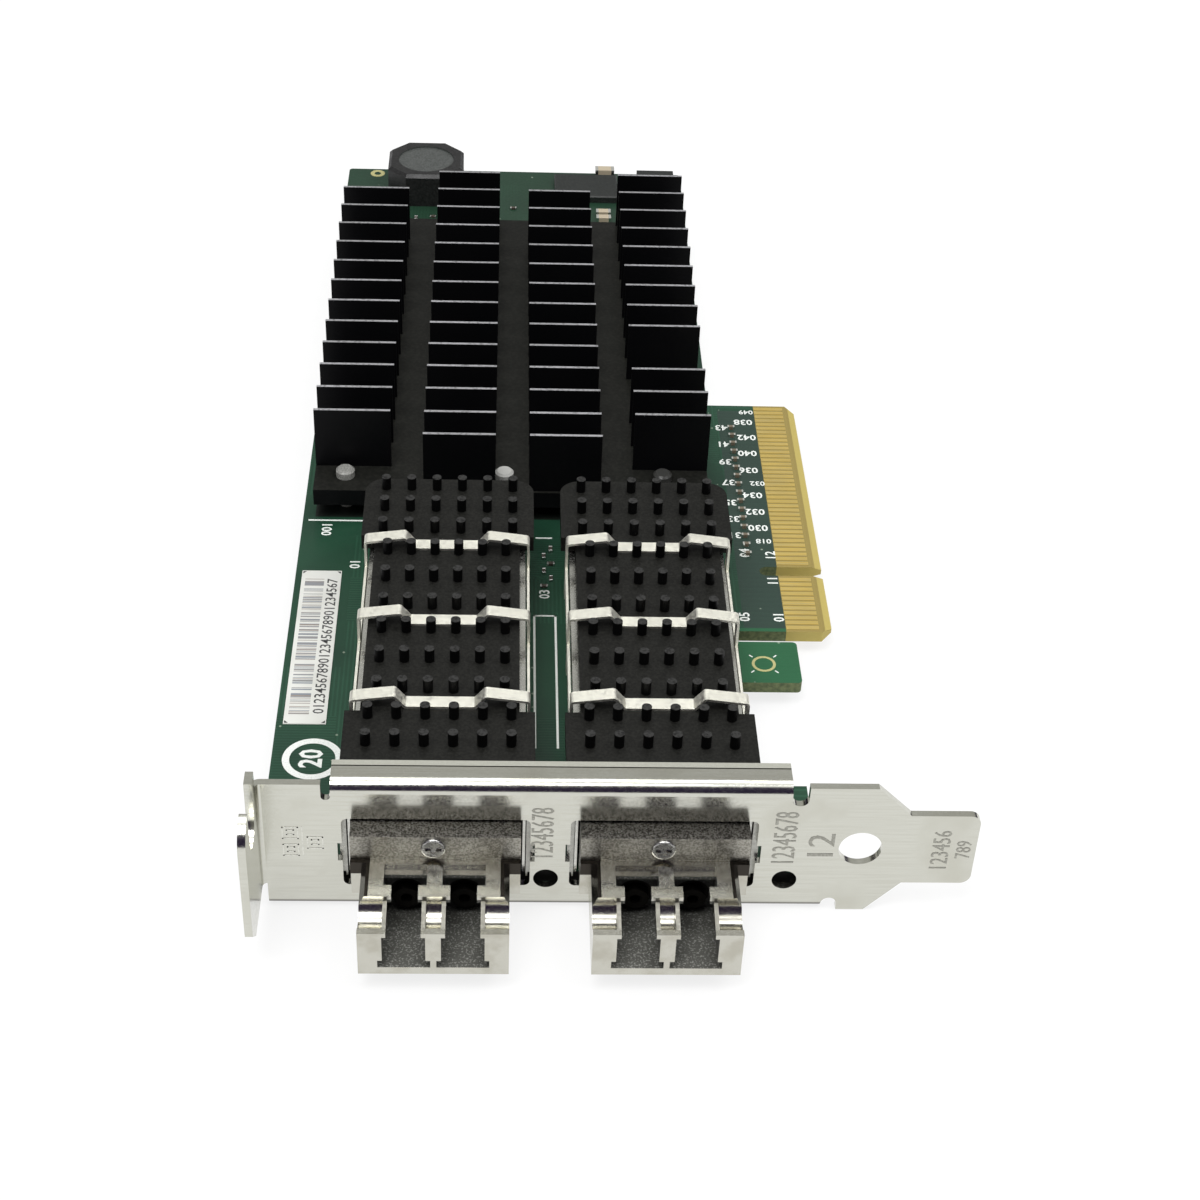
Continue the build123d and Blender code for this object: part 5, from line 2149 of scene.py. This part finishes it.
@dataclass(frozen=True)
class PhotoCamera:
    """The photograph's camera, worked out from the card's standard sizes."""

    space: Space
    focal_pixels: float = 2186.12
    picture: float = 1200.0
    sensor: float = 36.0
    nearest: float = 0.01
    furthest: float = 10.0
    place: Place = (26.796, -170.668, 174.087)
    pitch: float = 38.173
    yaw: float = 3.26
    roll: float = -2.685

    def build(self) -> None:
        """Makes the camera and hands it to the scene."""
        pitch, yaw, roll = (math.radians(angle) for angle in (self.pitch, self.yaw, self.roll))
        level_share = math.cos(pitch)
        ahead = Vector((math.sin(yaw) * level_share, math.cos(yaw) * level_share, -math.sin(pitch)))
        level = Vector((math.cos(yaw), -math.sin(yaw), 0.0))
        down = ahead.cross(level)
        right = level * math.cos(roll) + down * math.sin(roll)
        below = down * math.cos(roll) - level * math.sin(roll)
        data = bpy.data.cameras.new("photo_camera")
        data.sensor_width = self.sensor
        data.lens = self.focal_pixels * self.sensor / self.picture
        data.clip_start = self.nearest
        data.clip_end = self.furthest
        camera = bpy.data.objects.new("photo_camera", data)
        turn = Matrix((right, -below, -ahead)).transposed().to_4x4()
        camera.matrix_world = Matrix.Translation(self.space.point(*self.place)) @ turn
        bpy.context.scene.collection.objects.link(camera)
        bpy.context.scene.camera = camera


def main() -> None:
    """Builds the scene in order."""
    logging.basicConfig(level=logging.INFO, format="%(message)s")
    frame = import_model()
    bpy.context.scene.view_settings.view_transform = "Standard"
    space = Space.of_board()
    effects = Effects()
    Casework(space, effects).dress(frame["nodes"])
    pieces = Pieces(space)
    finishes = (
        PlainInk("white_ink"),
        PlainInk("bare_copper", colour=(0.42, 0.4, 0.18), thin=(0.36, 0.33, 0.14), roughness=0.35),
        Moulded("small_part_body", colour=(0.05, 0.042, 0.035), light=(0.09, 0.075, 0.06)),
        PlainMetal("tinned_solder", colour=(0.6, 0.6, 0.58), thin=(0.5, 0.5, 0.48), roughness=0.28),
        PlainMetal("stamped_nickel", colour=(0.7, 0.7, 0.64), thin=(0.5, 0.5, 0.45), roughness=0.25),
        PlainMetal("stamped_shadow", colour=(0.3, 0.295, 0.26), thin=(0.5, 0.5, 0.45), roughness=0.35),
        PlainInk("black_ink", colour=(0.03, 0.03, 0.03), thin=(0.1, 0.1, 0.1)),
        # Painted shade: the cheeks in the cove are a darker copy of the nose's nickel.
        PlatedSheet("cheek_nickel_shaded", colour=(0.2, 0.195, 0.17), stain=(0.15, 0.145, 0.125), roughness=0.4),
    )
    ink, bare, body, tin, stamped, shadow, black, cheek = (made.make(space, effects) for made in finishes)
    BoardPrint(pieces, ink, bare).build()
    SmallParts(pieces, body, tin).build()
    BracketMarks(pieces, stamped, shadow).build()
    LabelPrint(pieces, black).build()
    NoseCheeks(pieces, cheek).build()
    Studio(space).build()
    PhotoCamera(space).build()


if __name__ == "__main__":
    main()
